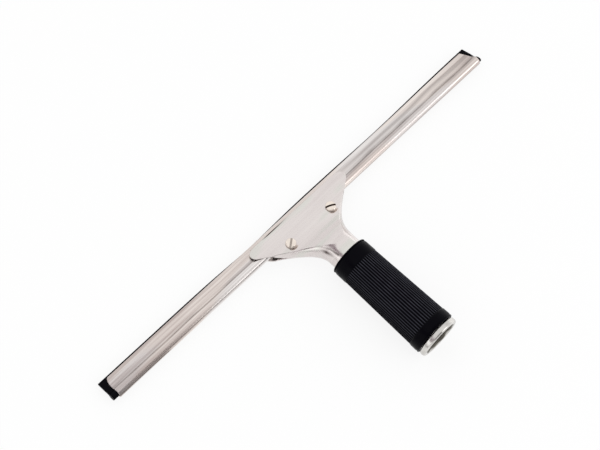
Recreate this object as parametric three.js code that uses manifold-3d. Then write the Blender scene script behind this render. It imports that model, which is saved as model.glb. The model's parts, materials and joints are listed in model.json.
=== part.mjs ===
// Window cleaning squeegee: a rubber strip in a folded keyhole channel, clamped in the flared head
// of a pressed steel handle that carries a ribbed rubber grip. All sizes are in millimetres.
//
// Every piece is drawn in the clamp's frame, and the finished tool is laid on a table at the end.
// In the clamp's frame X runs along the channel, Y points to the wiping edge and Z is square to
// the channel's flat sides. X = 0 is the middle of the handle, Y = 0 the back of the channel and
// Z = 0 the middle of the channel's slot.

import * as THREE from 'three';
import { mergeVertices, toCreasedNormals } from 'three/addons/utils/BufferGeometryUtils.js';
import Module from 'manifold-3d';

const wasm = await Module();
wasm.setup();

// ---------------------------------------------------------------- clearances
const fitGap = 0.3;               // between neighbouring pieces of the handle
const jawGap = 0.3;               // between the jaws and the channel's round back
const lipJawGap = 0.4;            // between the jaws' front edges and the channel's lips
const stripGap = 0.3;             // between the rubber strip and the channel
const seamGap = 0.2;              // along the joint of the two half shells

// ---------------------------------------------------------------- channel
const channelLength = 350;
const channelOffset = 5;          // its middle lies this far to the right of the handle's
const channelSheet = 0.7;
const beadRadius = 3.55;          // outside radius of the round back
const channelDepth = 15.6;        // back to lip edge
const creaseRadius = 0.9;         // bend between the round back and a lip
const leftLipCut = 2.8;           // front corners cut off the lips, along the channel
const leftLipDepth = 6.7;         // and across it
const leftLipBulge = 1;           // 1 for a quarter of an ellipse, 0 for a straight cut
const rightLipCut = 4.4;
const rightLipDepth = 8;
const rightLipBulge = 0.3;

// ---------------------------------------------------------------- rubber strip
const bladeThickness = 1.8;
const bladeReach = 1;             // past the lips
const waistThickness = 1.2;       // thin web behind the blade, which lets it flex
const waistLength = 2.4;
const leftOverhang = 4.4;         // past the channel's left end, along the bead
const rightOverhang = 2.6;
const rightSlant = 12;            // degrees that the right end is cut out of square

// ---------------------------------------------------------------- handle shells
const shellSheet = 1.2;
const headHalfWidth = 45.8;
const headReach = 11.7;           // channel's back to the front edge of the jaws
const tipRadius = 3;
const mouthHalfWidth = 36.9;      // where the flanks leave the back of the jaws
const mouthY = -1;
const flankY = -6.5;              // the seam opens here, in a wedge that grows to the mouth
const crestAhead = 0.75;          // level part of a jaw, ahead of the bead's middle
const crestRun = 6.2;             // slope of a jaw from the bead down to the lips
const lowerJawInset = 5;          // the lower jaw's sides lie this far inside the upper jaw's
const lowerTrimY = -9;            // and run back to the flank here
const seatY = -5;                 // the jaws are level ahead of this, and open out behind it
const scoopY = -27.8;             // where the pressed flats end in the round neck
const scoopEdge = 1;              // how sharply they end there, 0 for a smooth run-out
const neckY = -32;
const neckRadius = 12;
const neckHeight = 9.4;           // tube's axis above the channel's middle, at the neck
const handlePitch = 1.87;         // degrees that the tube falls away towards its rear
const tubeStartY = -37.2;         // the tube widens evenly from here to its end
const tubeEndY = -114;
const tubeEndRadius = 13.75;
const flare = 2.1;                // exponent of the flare's outline
const crownRise = 0.8;            // extra height of the flank's arch at the mouth
const crownPower = 10;

// ---------------------------------------------------------------- clamp screws and nuts
const screwSpacing = 38.6;
const shankRadius = 2;
const screwHeadRadius = 4;
const screwHeadHeight = 1.9;
const screwCrown = 0.9;           // dome on top of the head's straight side
const slotWidth = 1;
const slotDepth = 1.2;
const leftSlotTurn = 47;          // degrees from the channel's direction
const rightSlotTurn = -25;
const nutAcrossFlats = 7;
const nutHeight = 4.6;
const nutShankRadius = 2.8;
const nutRecess = 0.15;           // the nut's riveted end lies this far inside the lower shell

// ---------------------------------------------------------------- grip
const gripFrontY = tubeStartY;
const gripWall = 1.8;             // bore to the tops of the ribs
const gripBandLift = 0.3;         // smooth end bands stand proud of the ribs
const frontBand = 10.5;
const rearBand = 7;
const bandStep = 0.5;
const gripEdge = 1;               // rounding at both ends
const ribPitch = 1.8;
const ribDepth = 0.7;
const ribRunout = 1.4;            // length over which the grooves fade out
const ribCrest = 0.46;            // share of the pitch that is crest

// ---------------------------------------------------------------- ferrule of the pole socket
const ferruleSheet = 1;
const sleeveLength = 24;
const rimRadius = 15.5;
const rimLength = 4.4;
const rimCorner = 1.5;            // outside radius of the roll's corners
const rimGap = 0.5;               // open slit where the rolled edge ends

// ---------------------------------------------------------------- facets
const cornerSteps = 8;            // along a quarter of the handle's section
const roundSteps = 44;            // around a turned piece
const arcSteps = 6;               // along a small bend
const rimSteps = 3;               // along a bend of the ferrule's rolled rim
const lipSteps = 4;               // along a cut corner of the channel's lips
const flareSteps = 19;            // along the head, from the neck to the mouth
const scoopSpacing = 1.4;         // sections lie closer where the flats begin, 1 for even ones

// ---------------------------------------------------------------- sizes that follow
const radians = THREE.MathUtils.degToRad;
const lipHalf = bladeThickness / 2 + stripGap + channelSheet;
const jawHalf = beadRadius + jawGap + shellSheet;
const lipJawHalf = lipHalf + lipJawGap + shellSheet;
const crestY = beadRadius + crestAhead;
const screwXs = [-screwSpacing / 2, screwSpacing / 2];
const screwY = -(nutAcrossFlats / 2 + fitGap);
const nutFloor = -jawHalf + shellSheet + fitGap;
const pitch = radians(handlePitch);
const farOut = headHalfWidth + 10;

// ---------------------------------------------------------------- solids
/** A closed geometry as a manifold solid. */
function solid(geometry) {
  const bare = geometry.clone();
  bare.deleteAttribute('normal');
  bare.deleteAttribute('uv');
  const merged = mergeVertices(bare, 1e-4);
  const kept = [];
  const index = merged.index.array;
  for (let i = 0; i < index.length; i += 3) {
    const [a, b, c] = [index[i], index[i + 1], index[i + 2]];
    if (a !== b && b !== c && c !== a) kept.push(a, b, c);
  }
  return new wasm.Manifold(new wasm.Mesh({
    numProp: 3,
    vertProperties: new Float32Array(merged.attributes.position.array),
    triVerts: new Uint32Array(kept),
  }));
}

/** A manifold solid as a geometry with sharp edges kept sharp. */
function geometryOf(body) {
  const mesh = body.getMesh();
  const geometry = new THREE.BufferGeometry();
  geometry.setAttribute('position', new THREE.BufferAttribute(mesh.vertProperties, 3));
  geometry.setIndex(new THREE.BufferAttribute(mesh.triVerts, 1));
  return toCreasedNormals(mergeVertices(geometry, 1e-3), radians(30));
}

/** A solid skinned over rings of points, each ring convex and with as many points as the last. */
function loft(rings) {
  const count = rings[0].length;
  const positions = rings.flat().flatMap((p) => [p.x, p.y, p.z]);
  const index = [];
  for (let i = 0; i + 1 < rings.length; i++) {
    for (let j = 0; j < count; j++) {
      const k = (j + 1) % count;
      const [a, b] = [i * count + j, i * count + k];
      const [c, d] = [a + count, b + count];
      index.push(a, b, d, a, d, c);
    }
  }
  for (const [ring, flip] of [[0, true], [rings.length - 1, false]]) {
    const middle = new THREE.Vector3();
    rings[ring].forEach((p) => middle.addScaledVector(p, 1 / count));
    const hub = positions.length / 3;
    positions.push(middle.x, middle.y, middle.z);
    for (let j = 0; j < count; j++) {
      const [a, b] = [ring * count + j, ring * count + (j + 1) % count];
      index.push(...(flip ? [b, a, hub] : [a, b, hub]));
    }
  }
  const geometry = new THREE.BufferGeometry();
  geometry.setAttribute('position', new THREE.Float32BufferAttribute(positions, 3));
  geometry.setIndex(index);
  return solid(geometry);
}

/** An outline in the Y-Z plane drawn out along X, from one X to another. */
function alongX(points, fromX, toX) {
  const shape = new THREE.Shape(points);
  const geometry = new THREE.ExtrudeGeometry(shape, { depth: toX - fromX, bevelEnabled: false });
  const axes = new THREE.Matrix4().makeBasis(
    new THREE.Vector3(0, 1, 0), new THREE.Vector3(0, 0, 1), new THREE.Vector3(1, 0, 0));
  return solid(geometry.applyMatrix4(axes).translate(fromX, 0, 0));
}

/** An outline in the X-Y plane drawn up along Z, from one Z to another. */
function alongZ(points, fromZ, toZ) {
  const shape = new THREE.Shape(points);
  const geometry = new THREE.ExtrudeGeometry(shape, { depth: toZ - fromZ, bevelEnabled: false });
  return solid(geometry.translate(0, 0, fromZ));
}

/** An upright cylinder with its axis at (x, y), from one Z to another. */
function post(x, y, radius, fromZ, toZ, sides = roundSteps) {
  const geometry = new THREE.CylinderGeometry(radius, radius, toZ - fromZ, sides);
  geometry.rotateX(Math.PI / 2);
  return solid(geometry.translate(x, y, (fromZ + toZ) / 2));
}

/** The outline of a bent sheet: its middle line set off by half its thickness on both sides. */
function sheetOutline(middle, thickness) {
  const side = (sign) => middle.map((p, i) => {
    const before = middle[Math.max(i - 1, 0)];
    const after = middle[Math.min(i + 1, middle.length - 1)];
    const along = after.clone().sub(before).normalize();
    return new THREE.Vector2(-along.y, along.x).multiplyScalar(sign * thickness / 2).add(p);
  });
  return [...side(1), ...side(-1).reverse()];
}

/** Points of a round arc about a centre, between two angles in radians. */
function arc(x, y, radius, from, to, steps) {
  return Array.from({ length: steps + 1 }, (_, i) => {
    const angle = THREE.MathUtils.lerp(from, to, i / steps);
    return new THREE.Vector2(x + radius * Math.cos(angle), y + radius * Math.sin(angle));
  });
}

// ---------------------------------------------------------------- channel and strip
/** Middle line of the channel's folded sheet, from the upper lip round the back to the lower. */
function channelLine() {
  const lip = lipHalf - channelSheet / 2;
  const round = beadRadius - channelSheet / 2;
  const bend = creaseRadius;
  const bendY = beadRadius + Math.sqrt((round + bend) ** 2 - (lip + bend) ** 2);
  const meet = Math.atan2(lip + bend, bendY - beadRadius);
  const upperBend = arc(bendY, lip + bend, bend, 1.5 * Math.PI, Math.PI + meet, arcSteps);
  const back = arc(beadRadius, 0, round, meet, 2 * Math.PI - meet, 4 * arcSteps);
  const lowerBend = upperBend.map((p) => new THREE.Vector2(p.x, -p.y)).reverse();
  return [new THREE.Vector2(channelDepth, lip), ...upperBend, ...back.slice(1, -1), ...lowerBend,
    new THREE.Vector2(channelDepth, -lip)];
}

const channelLeft = channelOffset - channelLength / 2;
const channelRight = channelOffset + channelLength / 2;

function channel() {
  const outline = sheetOutline(channelLine(), channelSheet);
  let body = alongX(outline, channelLeft, channelRight);
  for (const [end, inward, length, depth, bulge] of [
    [channelLeft, 1, leftLipCut, leftLipDepth, leftLipBulge],
    [channelRight, -1, rightLipCut, rightLipDepth, rightLipBulge],
  ]) {
    const edge = places(0, 1, lipSteps).map((s) => [
      length * THREE.MathUtils.lerp(1 - s, 1 - Math.sin(s * Math.PI / 2), bulge),
      -depth * THREE.MathUtils.lerp(s, 1 - Math.cos(s * Math.PI / 2), bulge)]);
    const corner = [[-1, 1], [length, 1], ...edge, [-1, -depth]];
    const cut = corner.map(([x, y]) => new THREE.Vector2(end + inward * x, channelDepth + y));
    body = body.subtract(alongZ(cut, -lipHalf - 1, lipHalf + 1));
  }
  return geometryOf(body);
}

function rubberBlade() {
  const bulb = beadRadius - channelSheet - stripGap;
  const [waist, half] = [waistThickness / 2, bladeThickness / 2];
  const start = Math.asin(waist / bulb);
  const waistY = beadRadius + bulb * Math.cos(start) + waistLength;
  const edgeY = channelDepth + bladeReach;
  const upper = [[waistY, waist], [waistY + half, half], [edgeY, half]];
  const outline = [
    ...arc(beadRadius, 0, bulb, start, 2 * Math.PI - start, 4 * arcSteps),
    ...upper.map(([y, z]) => new THREE.Vector2(y, -z)),
    ...upper.map(([y, z]) => new THREE.Vector2(y, z)).reverse(),
  ];
  const left = channelLeft - leftOverhang;
  const right = channelRight + rightOverhang;
  const lean = Math.tan(radians(rightSlant)) * edgeY;
  const slant = [[right, 0], [right + lean, 0], [right + lean, edgeY + 1],
    [right - lean, edgeY + 1], [right - lean, edgeY]];
  const cut = slant.map(([x, y]) => new THREE.Vector2(x, y));
  return geometryOf(alongX(outline, left, right).subtract(alongZ(cut, -bulb - 1, bulb + 1)));
}

// ---------------------------------------------------------------- handle shells
/** Outside radius of the handle's tube at a place along it. */
function tubeRadius(y) {
  const share = THREE.MathUtils.clamp((tubeStartY - y) / (tubeStartY - tubeEndY), 0, 1);
  return THREE.MathUtils.lerp(neckRadius, tubeEndRadius, share);
}

/** Height of the section's middle, where the shells meet: level jaws, then up to the tube. */
function middleZ(y) {
  const rise = THREE.MathUtils.smoothstep(-y, -flankY, -neckY);
  return rise * (neckHeight + Math.tan(pitch) * (y - neckY));
}

/** Share of the way from the mouth's corners, 0, to the neck, 1. */
const flared = (y) => THREE.MathUtils.clamp((mouthY - y) / (mouthY - neckY), 0, 1);

/** Half of the section's width: straight-sided tips, then a flare that narrows to the neck. */
function halfWidth(y) {
  if (y <= mouthY) {
    return tubeRadius(y) + (mouthHalfWidth - neckRadius) * (1 - flared(y)) ** flare;
  }
  const centre = new THREE.Vector2(headReach - tipRadius, headHalfWidth - tipRadius);
  const reach = centre.clone().sub(new THREE.Vector2(mouthY, mouthHalfWidth));
  const side = reach.angle() + Math.asin(tipRadius / reach.length());
  if (y < centre.x - tipRadius * Math.sin(side)) {
    return mouthHalfWidth + Math.tan(side) * (y - mouthY);
  }
  return centre.y + Math.sqrt(Math.max(tipRadius ** 2 - (y - centre.x) ** 2, 0));
}

/** Height of the arch that the flanks are part of, and that the pressed flats cut short. */
const crown = (y) => tubeRadius(y) * (1 + crownRise * (1 - flared(y)) ** crownPower);

/**
 * Height of the outside over the axis (side 1) or under it (side -1). A jaw is lower over the
 * lips and level over the bead. Behind its seat the pressed flat bends up to the tube, on a cubic
 * that leaves the jaw level and meets the tube at an edge.
 */
function outerZ(y, side) {
  const down = THREE.MathUtils.clamp((y - crestY) / crestRun, 0, 1);
  const jaw = side * THREE.MathUtils.lerp(jawHalf, lipJawHalf, down);
  const tube = middleZ(scoopY) + side * tubeRadius(scoopY);
  const t = THREE.MathUtils.clamp((seatY - y) / (seatY - scoopY), 0, 1);
  const flat = jaw + (tube - jaw) * (t * t * (3 - 2 * t) + scoopEdge * t * t * (t - 1));
  const arch = middleZ(y) + side * crown(y);
  return y < scoopY ? arch : side * Math.min(side * flat, side * arch);
}

const topZ = (y) => outerZ(y, 1);
const bottomZ = (y) => outerZ(y, -1);

/** Thickness of a sheet of the given slope, measured straight through. */
const throughSheet = (curve, y) => {
  const step = 0.01;
  return shellSheet * Math.hypot(1, (curve(y + step) - curve(y - step)) / (2 * step));
};

/** One ring of an arch above and an arch below, each cut short by a flat. */
function section(y, width, arch, top, bottom) {
  const z = middleZ(y);
  const start = Math.acos(Math.min((top - z) / arch, 1));
  const end = Math.PI - Math.acos(Math.min((z - bottom) / arch, 1));
  const right = [
    ...places(start, Math.PI / 2, cornerSteps),
    ...places(Math.PI / 2, end, cornerSteps).slice(1),
  ].map((angle) => new THREE.Vector3(width * Math.sin(angle), y, z + arch * Math.cos(angle)));
  const left = right.map((p) => new THREE.Vector3(-p.x, p.y, p.z)).reverse();
  return [...right, ...left];
}

function outerSection(y) {
  return section(y, halfWidth(y), crown(y), topZ(y), bottomZ(y));
}

function innerSection(y) {
  return section(y, halfWidth(y) - throughSheet(halfWidth, y), crown(y) - shellSheet,
    topZ(y) - throughSheet(topZ, y), bottomZ(y) + throughSheet(bottomZ, y));
}

/** Evenly spaced places from one to another. */
function places(from, to, steps) {
  return Array.from({ length: steps + 1 }, (_, i) => THREE.MathUtils.lerp(from, to, i / steps));
}

/** The outline of a nut, or of the room that it needs, from its size across the flats. */
function hexagon(x, acrossFlats) {
  const corner = acrossFlats / 2 / Math.cos(Math.PI / 6);
  return arc(x, screwY, corner, 0, 5 * Math.PI / 3, 5);
}

/** Both shells as one hollow body, with the mouth open through its front and sides. */
function handleBody() {
  const closing = places(0, 1, flareSteps).map((t) => t ** scoopSpacing);
  const scoopYs = closing.map((t) => THREE.MathUtils.lerp(scoopY, mouthY, t));
  const flareYs = [...places(neckY, scoopY, 3), ...scoopYs.slice(1)];
  const tipCentre = headReach - tipRadius;
  const tipYs = places(-Math.PI / 4, Math.PI / 2, 7).map((a) => tipCentre + tipRadius * Math.sin(a));
  const crestEnd = crestY + crestRun;
  const jawYs = [crestY, ...tipYs.filter((y) => Math.abs(y - crestEnd) > 0.2), crestEnd];
  const outerYs = [tubeEndY - 1, tubeStartY, ...flareYs, ...jawYs];
  outerYs.sort((a, b) => a - b);
  const innerYs = [tubeEndY - 2, tubeStartY, ...flareYs];
  const outer = loft(outerYs.map(outerSection));
  const inner = loft(innerYs.map(innerSection));
  const jaw = [[mouthY, jawHalf], [crestY, jawHalf], [crestEnd, lipJawHalf],
    [headReach + 1, lipJawHalf]].map(([y, z]) => new THREE.Vector2(y, z - shellSheet));
  const mouth = [new THREE.Vector2(flankY, 0), ...jaw,
    ...jaw.map((p) => new THREE.Vector2(p.x, -p.y)).reverse()];
  const rooms = screwXs.map((x) => alongZ(
    hexagon(x, nutAcrossFlats + 2 * fitGap), nutFloor, nutFloor + nutHeight + fitGap));
  return [inner, alongX(mouth, -farOut, farOut), ...rooms]
    .reduce((body, cut) => body.subtract(cut), outer);
}

/** Everything above the seam between the shells for 1, or below it for -1, to the tube's end. */
function seamSide(sign) {
  const ys = [tubeEndY, tubeStartY, ...places(neckY, flankY, flareSteps), headReach + 1];
  const seam = ys.map((y) => new THREE.Vector2(y, middleZ(y) + sign * seamGap / 2));
  const squareEnd = new THREE.Vector2(-Math.sin(pitch), Math.cos(pitch));
  const outline = [...seam, new THREE.Vector2(headReach + 1, sign * farOut),
    squareEnd.multiplyScalar(sign * farOut).add(seam[0])];
  return alongX(outline, -farOut, farOut);
}

function upperShell(body) {
  let shell = body.intersect(seamSide(1));
  for (const x of screwXs) {
    shell = shell.subtract(post(x, screwY, shankRadius + fitGap, 0, farOut));
    shell = shell.subtract(post(x, screwY, screwHeadRadius + fitGap, jawHalf, farOut));
  }
  return geometryOf(shell);
}

/** What is cut off one side of the lower jaw, so that the upper jaw hides it. */
function jawTrim(side) {
  const tip = headHalfWidth - lowerJawInset;
  const outline = [[halfWidth(lowerTrimY), lowerTrimY], [mouthHalfWidth - lowerJawInset, mouthY],
    [tip, headReach - tipRadius], [tip - tipRadius, headReach], [tip - tipRadius, headReach + 1],
    [farOut, headReach + 1], [farOut, lowerTrimY]];
  return alongZ(outline.map(([x, y]) => new THREE.Vector2(side * x, y)), -farOut, 0);
}

function lowerShell(body) {
  let shell = body.intersect(seamSide(-1)).subtract(jawTrim(1)).subtract(jawTrim(-1));
  for (const x of screwXs) {
    shell = shell.subtract(post(x, screwY, nutShankRadius + fitGap, -farOut, 0));
  }
  return geometryOf(shell);
}

// ---------------------------------------------------------------- screws and nuts
/** A slotted round-head screw through both jaws, its slot turned from the channel's direction. */
function clampScrew(x, slotTurn) {
  const seat = jawHalf + fitGap;
  const top = seat + screwHeadHeight;
  const side = top - screwCrown;
  const dome = (screwHeadRadius ** 2 + screwCrown ** 2) / (2 * screwCrown);
  const rise = Math.asin(screwHeadRadius / dome);
  const profile = [
    new THREE.Vector2(0, nutRecess - jawHalf + fitGap),
    new THREE.Vector2(shankRadius, nutRecess - jawHalf + fitGap),
    new THREE.Vector2(shankRadius, seat),
    new THREE.Vector2(screwHeadRadius, seat),
    ...arc(0, side + screwCrown - dome, dome, Math.PI / 2 - rise, Math.PI / 2, arcSteps),
  ];
  profile[profile.length - 1].x = 0;
  const turned = new THREE.LatheGeometry(profile, roundSteps / 2);
  const slot = new THREE.BoxGeometry(3 * screwHeadRadius, slotWidth, 2 * slotDepth);
  slot.rotateZ(radians(slotTurn));
  const head = solid(turned.rotateX(Math.PI / 2));
  return geometryOf(head.subtract(solid(slot.translate(0, 0, top))).translate([x, screwY, 0]));
}

/** A hexagonal nut riveted into the lower jaw, its front flat just behind the channel. */
function clinchNut(x) {
  return geometryOf(alongZ(hexagon(x, nutAcrossFlats), nutFloor, nutFloor + nutHeight)
    .add(post(x, screwY, nutShankRadius, nutRecess - jawHalf, nutFloor + fitGap))
    .subtract(post(x, screwY, shankRadius + fitGap, -farOut, farOut, roundSteps / 2)));
}

// ---------------------------------------------------------------- grip
/** A ribbed rubber tube with smooth bands at its ends, along the handle's axis. */
function rubberGrip() {
  const [front, end] = [gripFrontY - neckY, tubeEndY - neckY];
  const level = (y) => tubeRadius(y + neckY) + fitGap + gripWall;
  const ribs = Math.round(2 * Math.PI * level((front + end) / 2) / ribPitch);
  const ring = ([y, lift, depth]) => Array.from({ length: 3 * ribs }, (_, i) => {
    const share = [0, 0.5 - ribCrest / 2, 0.5 + ribCrest / 2][i % 3];
    const angle = -2 * Math.PI * (Math.floor(i / 3) + share) / ribs;
    const radius = level(y) + lift - (i % 3 ? 0 : depth);
    return new THREE.Vector3(radius * Math.sin(angle), y, radius * Math.cos(angle));
  });
  const edge = arc(0, 0, gripEdge, 0, Math.PI / 2, 3).map((p) => [
    gripEdge - p.x, gripBandLift - gripEdge + p.y]);
  const ribStart = front - frontBand - bandStep;
  const ribEnd = end + rearBand + bandStep;
  const stations = [
    ...edge.map(([y, lift]) => [front - y, lift, 0]),
    [front - frontBand, gripBandLift, 0],
    [ribStart, 0, 0],
    [ribStart - ribRunout, 0, ribDepth],
    [ribEnd + ribRunout, 0, ribDepth],
    [ribEnd, 0, 0],
    [end + rearBand, gripBandLift, 0],
    ...edge.map(([y, lift]) => [end + y, lift, 0]).reverse(),
  ];
  const bore = new THREE.CylinderGeometry(
    tubeRadius(gripFrontY) + fitGap, tubeRadius(tubeEndY) + fitGap, front - end, roundSteps);
  const body = loft(stations.map(ring));
  const shape = solid(bore.translate(0, (front + end) / 2, 0));
  const past = solid(new THREE.CylinderGeometry(
    tubeRadius(gripFrontY) + fitGap, tubeRadius(gripFrontY) + fitGap, 2, roundSteps)
    .translate(0, front + 1, 0));
  return geometryOf(body.subtract(shape.add(past)));
}

// ---------------------------------------------------------------- ferrule
/** The sleeve that is pressed into the tube's end, its rear edge rolled over into a rim. */
function socketFerrule() {
  const end = tubeEndY - neckY;
  const half = ferruleSheet / 2;
  const sleeve = (y) => tubeRadius(y + neckY) - shellSheet - fitGap - half;
  const rimFront = end - fitGap;
  const rimRear = rimFront - rimLength + half;
  const inner = sleeve(end);
  const outer = rimRadius - half;
  const bend = rimCorner - half;
  const line = [
    new THREE.Vector2(sleeve(end + sleeveLength), end + sleeveLength),
    new THREE.Vector2(inner, end),
    ...arc(inner + bend, rimRear + bend, bend, Math.PI, 1.5 * Math.PI, rimSteps),
    ...arc(outer - bend, rimRear + bend, bend, 1.5 * Math.PI, 2 * Math.PI, rimSteps),
    ...arc(outer - bend, rimFront - half - bend, bend, 0, Math.PI / 2, rimSteps),
    new THREE.Vector2(inner + half + rimGap, rimFront - half),
  ];
  const outline = sheetOutline(line, ferruleSheet).reverse();
  const turned = new THREE.LatheGeometry([...outline, outline[0].clone()], roundSteps);
  return geometryOf(solid(turned));
}

// ---------------------------------------------------------------- assembly
const steel = { metalness: 1, roughness: 0.3 };

function piece(name, geometry, color, finish) {
  const material = new THREE.MeshStandardMaterial({ color, ...finish });
  const mesh = new THREE.Mesh(geometry, material);
  mesh.name = name;
  return mesh;
}

const body = handleBody();
const clamp = new THREE.Group();
clamp.add(
  piece('channel', channel(), 0xcfc8c4, steel),
  piece('rubber_blade', rubberBlade(), 0x101014, { metalness: 0, roughness: 0.6 }),
  piece('upper_shell', upperShell(body), 0xd9d2cf, steel),
  piece('lower_shell', lowerShell(body), 0xd5cfcb, steel),
  piece('clamp_screw_left', clampScrew(screwXs[0], leftSlotTurn), 0xe6dccb, steel),
  piece('clamp_screw_right', clampScrew(screwXs[1], rightSlotTurn), 0xe6dccb, steel),
  piece('clinch_nut_left', clinchNut(screwXs[0]), 0xc4c0ba, steel),
  piece('clinch_nut_right', clinchNut(screwXs[1]), 0xc4c0ba, steel),
);

const tube = new THREE.Group();
tube.position.set(0, neckY, neckHeight);
tube.rotation.x = pitch;
tube.add(
  piece('rubber_grip', rubberGrip(), 0x141418, { metalness: 0, roughness: 0.7 }),
  piece('socket_ferrule', socketFerrule(), 0xd2d2d0, steel),
);
clamp.add(tube);

// On a table the tool stands on the grip's rear band and on the lower jaw under the bead.
const heel = new THREE.Vector3(0, tubeEndY - neckY + gripEdge,
  -(tubeRadius(tubeEndY + gripEdge) + fitGap + gripWall + gripBandLift));
heel.applyAxisAngle(new THREE.Vector3(1, 0, 0), pitch).add(tube.position);
const toe = new THREE.Vector3(0, crestY, -jawHalf);
const tilt = Math.atan2(toe.z - heel.z, toe.y - heel.y);
clamp.rotation.x = -tilt;

const part = new THREE.Group();
part.add(clamp);
part.updateMatrixWorld(true);
const box = new THREE.Box3().setFromObject(part, true);
clamp.position.set(-(box.min.x + box.max.x) / 2, -(box.min.y + box.max.y) / 2, -box.min.z);

export default part;
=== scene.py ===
import json
import math

import bmesh
import bpy
import numpy as np
from bpy.props import FloatProperty, FloatVectorProperty, PointerProperty
from mathutils import Matrix, Vector


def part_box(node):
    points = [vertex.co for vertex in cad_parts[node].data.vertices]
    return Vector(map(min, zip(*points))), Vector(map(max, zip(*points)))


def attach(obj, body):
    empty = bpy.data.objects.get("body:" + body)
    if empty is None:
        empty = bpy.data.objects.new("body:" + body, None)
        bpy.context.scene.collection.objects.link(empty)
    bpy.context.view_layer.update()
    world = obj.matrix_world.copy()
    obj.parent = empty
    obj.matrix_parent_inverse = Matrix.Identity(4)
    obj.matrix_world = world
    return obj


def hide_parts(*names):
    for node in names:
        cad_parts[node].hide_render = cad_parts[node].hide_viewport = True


bl_info = {
    "name": "Window squeegee",
    "version": (1, 0, 0),
    "blender": (4, 5, 0),
    "location": "View3D > Sidebar > Squeegee",
    "description": "Makes the visible pieces of a window cleaning squeegee around its solid parts",
    "category": "Object",
}

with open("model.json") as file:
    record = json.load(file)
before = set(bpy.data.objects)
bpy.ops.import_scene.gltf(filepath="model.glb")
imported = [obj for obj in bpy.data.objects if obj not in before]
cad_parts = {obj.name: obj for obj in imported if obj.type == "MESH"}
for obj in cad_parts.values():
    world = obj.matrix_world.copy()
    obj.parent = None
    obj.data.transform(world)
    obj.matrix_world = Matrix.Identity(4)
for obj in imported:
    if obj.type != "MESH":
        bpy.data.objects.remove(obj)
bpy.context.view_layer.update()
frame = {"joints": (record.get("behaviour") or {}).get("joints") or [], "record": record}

MM = 0.001
TURN = 2 * math.pi
RECORD = frame["record"]
MOUNTS = {mount["name"]: mount for mount in RECORD["mounts"]}
JOINTS = {joint["name"]: joint for joint in frame["joints"]}

# Wavelengths and seed of each slow random wave, in metres along a piece or radians round it.
WAVES = {
    "lip": ((0.031, 0.047, 0.083), 4),
    "bead": ((0.023, 0.052, 0.11), 9),
    "crease place": ((0.035, 0.061, 0.13), 11),
    "crease strength": ((0.017, 0.042, 0.09), 12),
    "lip band": ((0.05, 0.09), 14),
    "rubber": ((0.019, 0.044, 0.09), 2),
    "plate across": ((0.027, 0.041), 3),
    "plate along": ((0.021, 0.035), 5),
    "rim": ((TURN / 3, TURN / 5, TURN / 8), 7),
    "bore": ((TURN / 5, TURN / 9), 9),
}

# Along X: where the painted shadow along the jaw's front edge begins, is full, begins to fade and
# ends.
FRONT_SHADOW = (-0.032, -0.024, -0.021, -0.004)
# Painted reflections: dark streaks along the upper shell's left neck, in place of what the
# polished neck mirrors. Each has a line of corners in millimetres, the stroke's width in
# millimetres, and its strength at each corner.
NECK_PAINTED_REFLECTIONS = (
    (((-12, -17.2, 11.7), (-8.7, -28, 17.5), (-8, -34.6, 18.2)), 0.8, (0, 0.55, 0.8)),
    (((-11.9, -22.2, 13.1), (-10.9, -27, 14.5), (-10.3, -31, 15.6)), 1.2, (0, 0.95, 0.3)),
)

# The stage. Its sizes are in metres and its angles in degrees; bearings run from X towards Y.
# The lamp and the round cards stand about STAGE_AIM, a place in the clamp's frame.
SKY_LIGHT, FLOOR_TONE, FLOOR_GLOW, FLOOR_HALF = 0.95, 0.98, 0.85, 4.0
STAGE_AIM = (0.0, -0.02, 0.0)
LAMP = {"bearing": -58.5, "elevation": 28, "distance": 1.4, "size": (0.67, 0.5), "energy": 1.45}
# Name, reach along X and along Y, and tone of the cards that lie on the floor.
FLOOR_CARDS = (
    ("ground_card", (-0.33, -0.128), (-0.22, 0.046), (0.25, 0.235, 0.23)),
    ("bright_card", (0.04, 0.33), (-0.22, 0.037), (1.25, 1.25, 1.25)),
)
FLOOR_CARD_HEIGHT = 0.001
# Name, bearings, elevations, distance and tone of the cards that stand round the tool.
ROUND_CARDS = (
    ("back_card", (-118, -74.5), (-1, 50), 1.2, (0.3, 0.29, 0.29)),
    ("upper_card", (-118, -67), (50, 66), 1.2, (0.34, 0.33, 0.33)),
    ("left_card", (120, 205), (9, 22), 1.1, (1.4, 1.4, 1.4)),
    ("high_card", (112, 238), (28, 47), 1.1, (0.3, 0.24, 0.27)),
    ("low_card", (-71, -46), (0, 17), 1.15, (1.2, 1.2, 1.2)),
    ("right_card", (-12, 40), (0, 10), 1.1, (1.5, 1.5, 1.5)),
)
ROUND_CARD_LOWEST = 0.002
# The camera's place is given in the clamp's frame, and its lens and sensor in millimetres.
CAMERA = {"aim": (-0.00316, 0.00269, 0.0), "distance": 1.01424, "azimuth": -144.88,
          "elevation": 64.38, "roll": -9.28, "lens": 91.285, "sensor": 36.0, "clip": (0.05, 20.0)}


# ---------------------------------------------------------------- sizes and colours
def length(name, description, millimetres):
    """A length property, stored in metres, from its size in millimetres."""
    return FloatProperty(
        name=name, description=description, default=millimetres * MM, unit="LENGTH", precision=5
    )


def ratio(name, description, value):
    """A plain number property."""
    return FloatProperty(name=name, description=description, default=value, precision=3)


def angle(name, description, degrees):
    """An angle property, stored in radians, from its size in degrees."""
    return FloatProperty(
        name=name, description=description, default=math.radians(degrees), subtype="ANGLE"
    )


def colour(name, description, red, green, blue):
    """A linear colour property."""
    return FloatVectorProperty(
        name=name, description=description, default=(red, green, blue), subtype="COLOR",
        size=3, min=0, max=1,
    )


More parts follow.
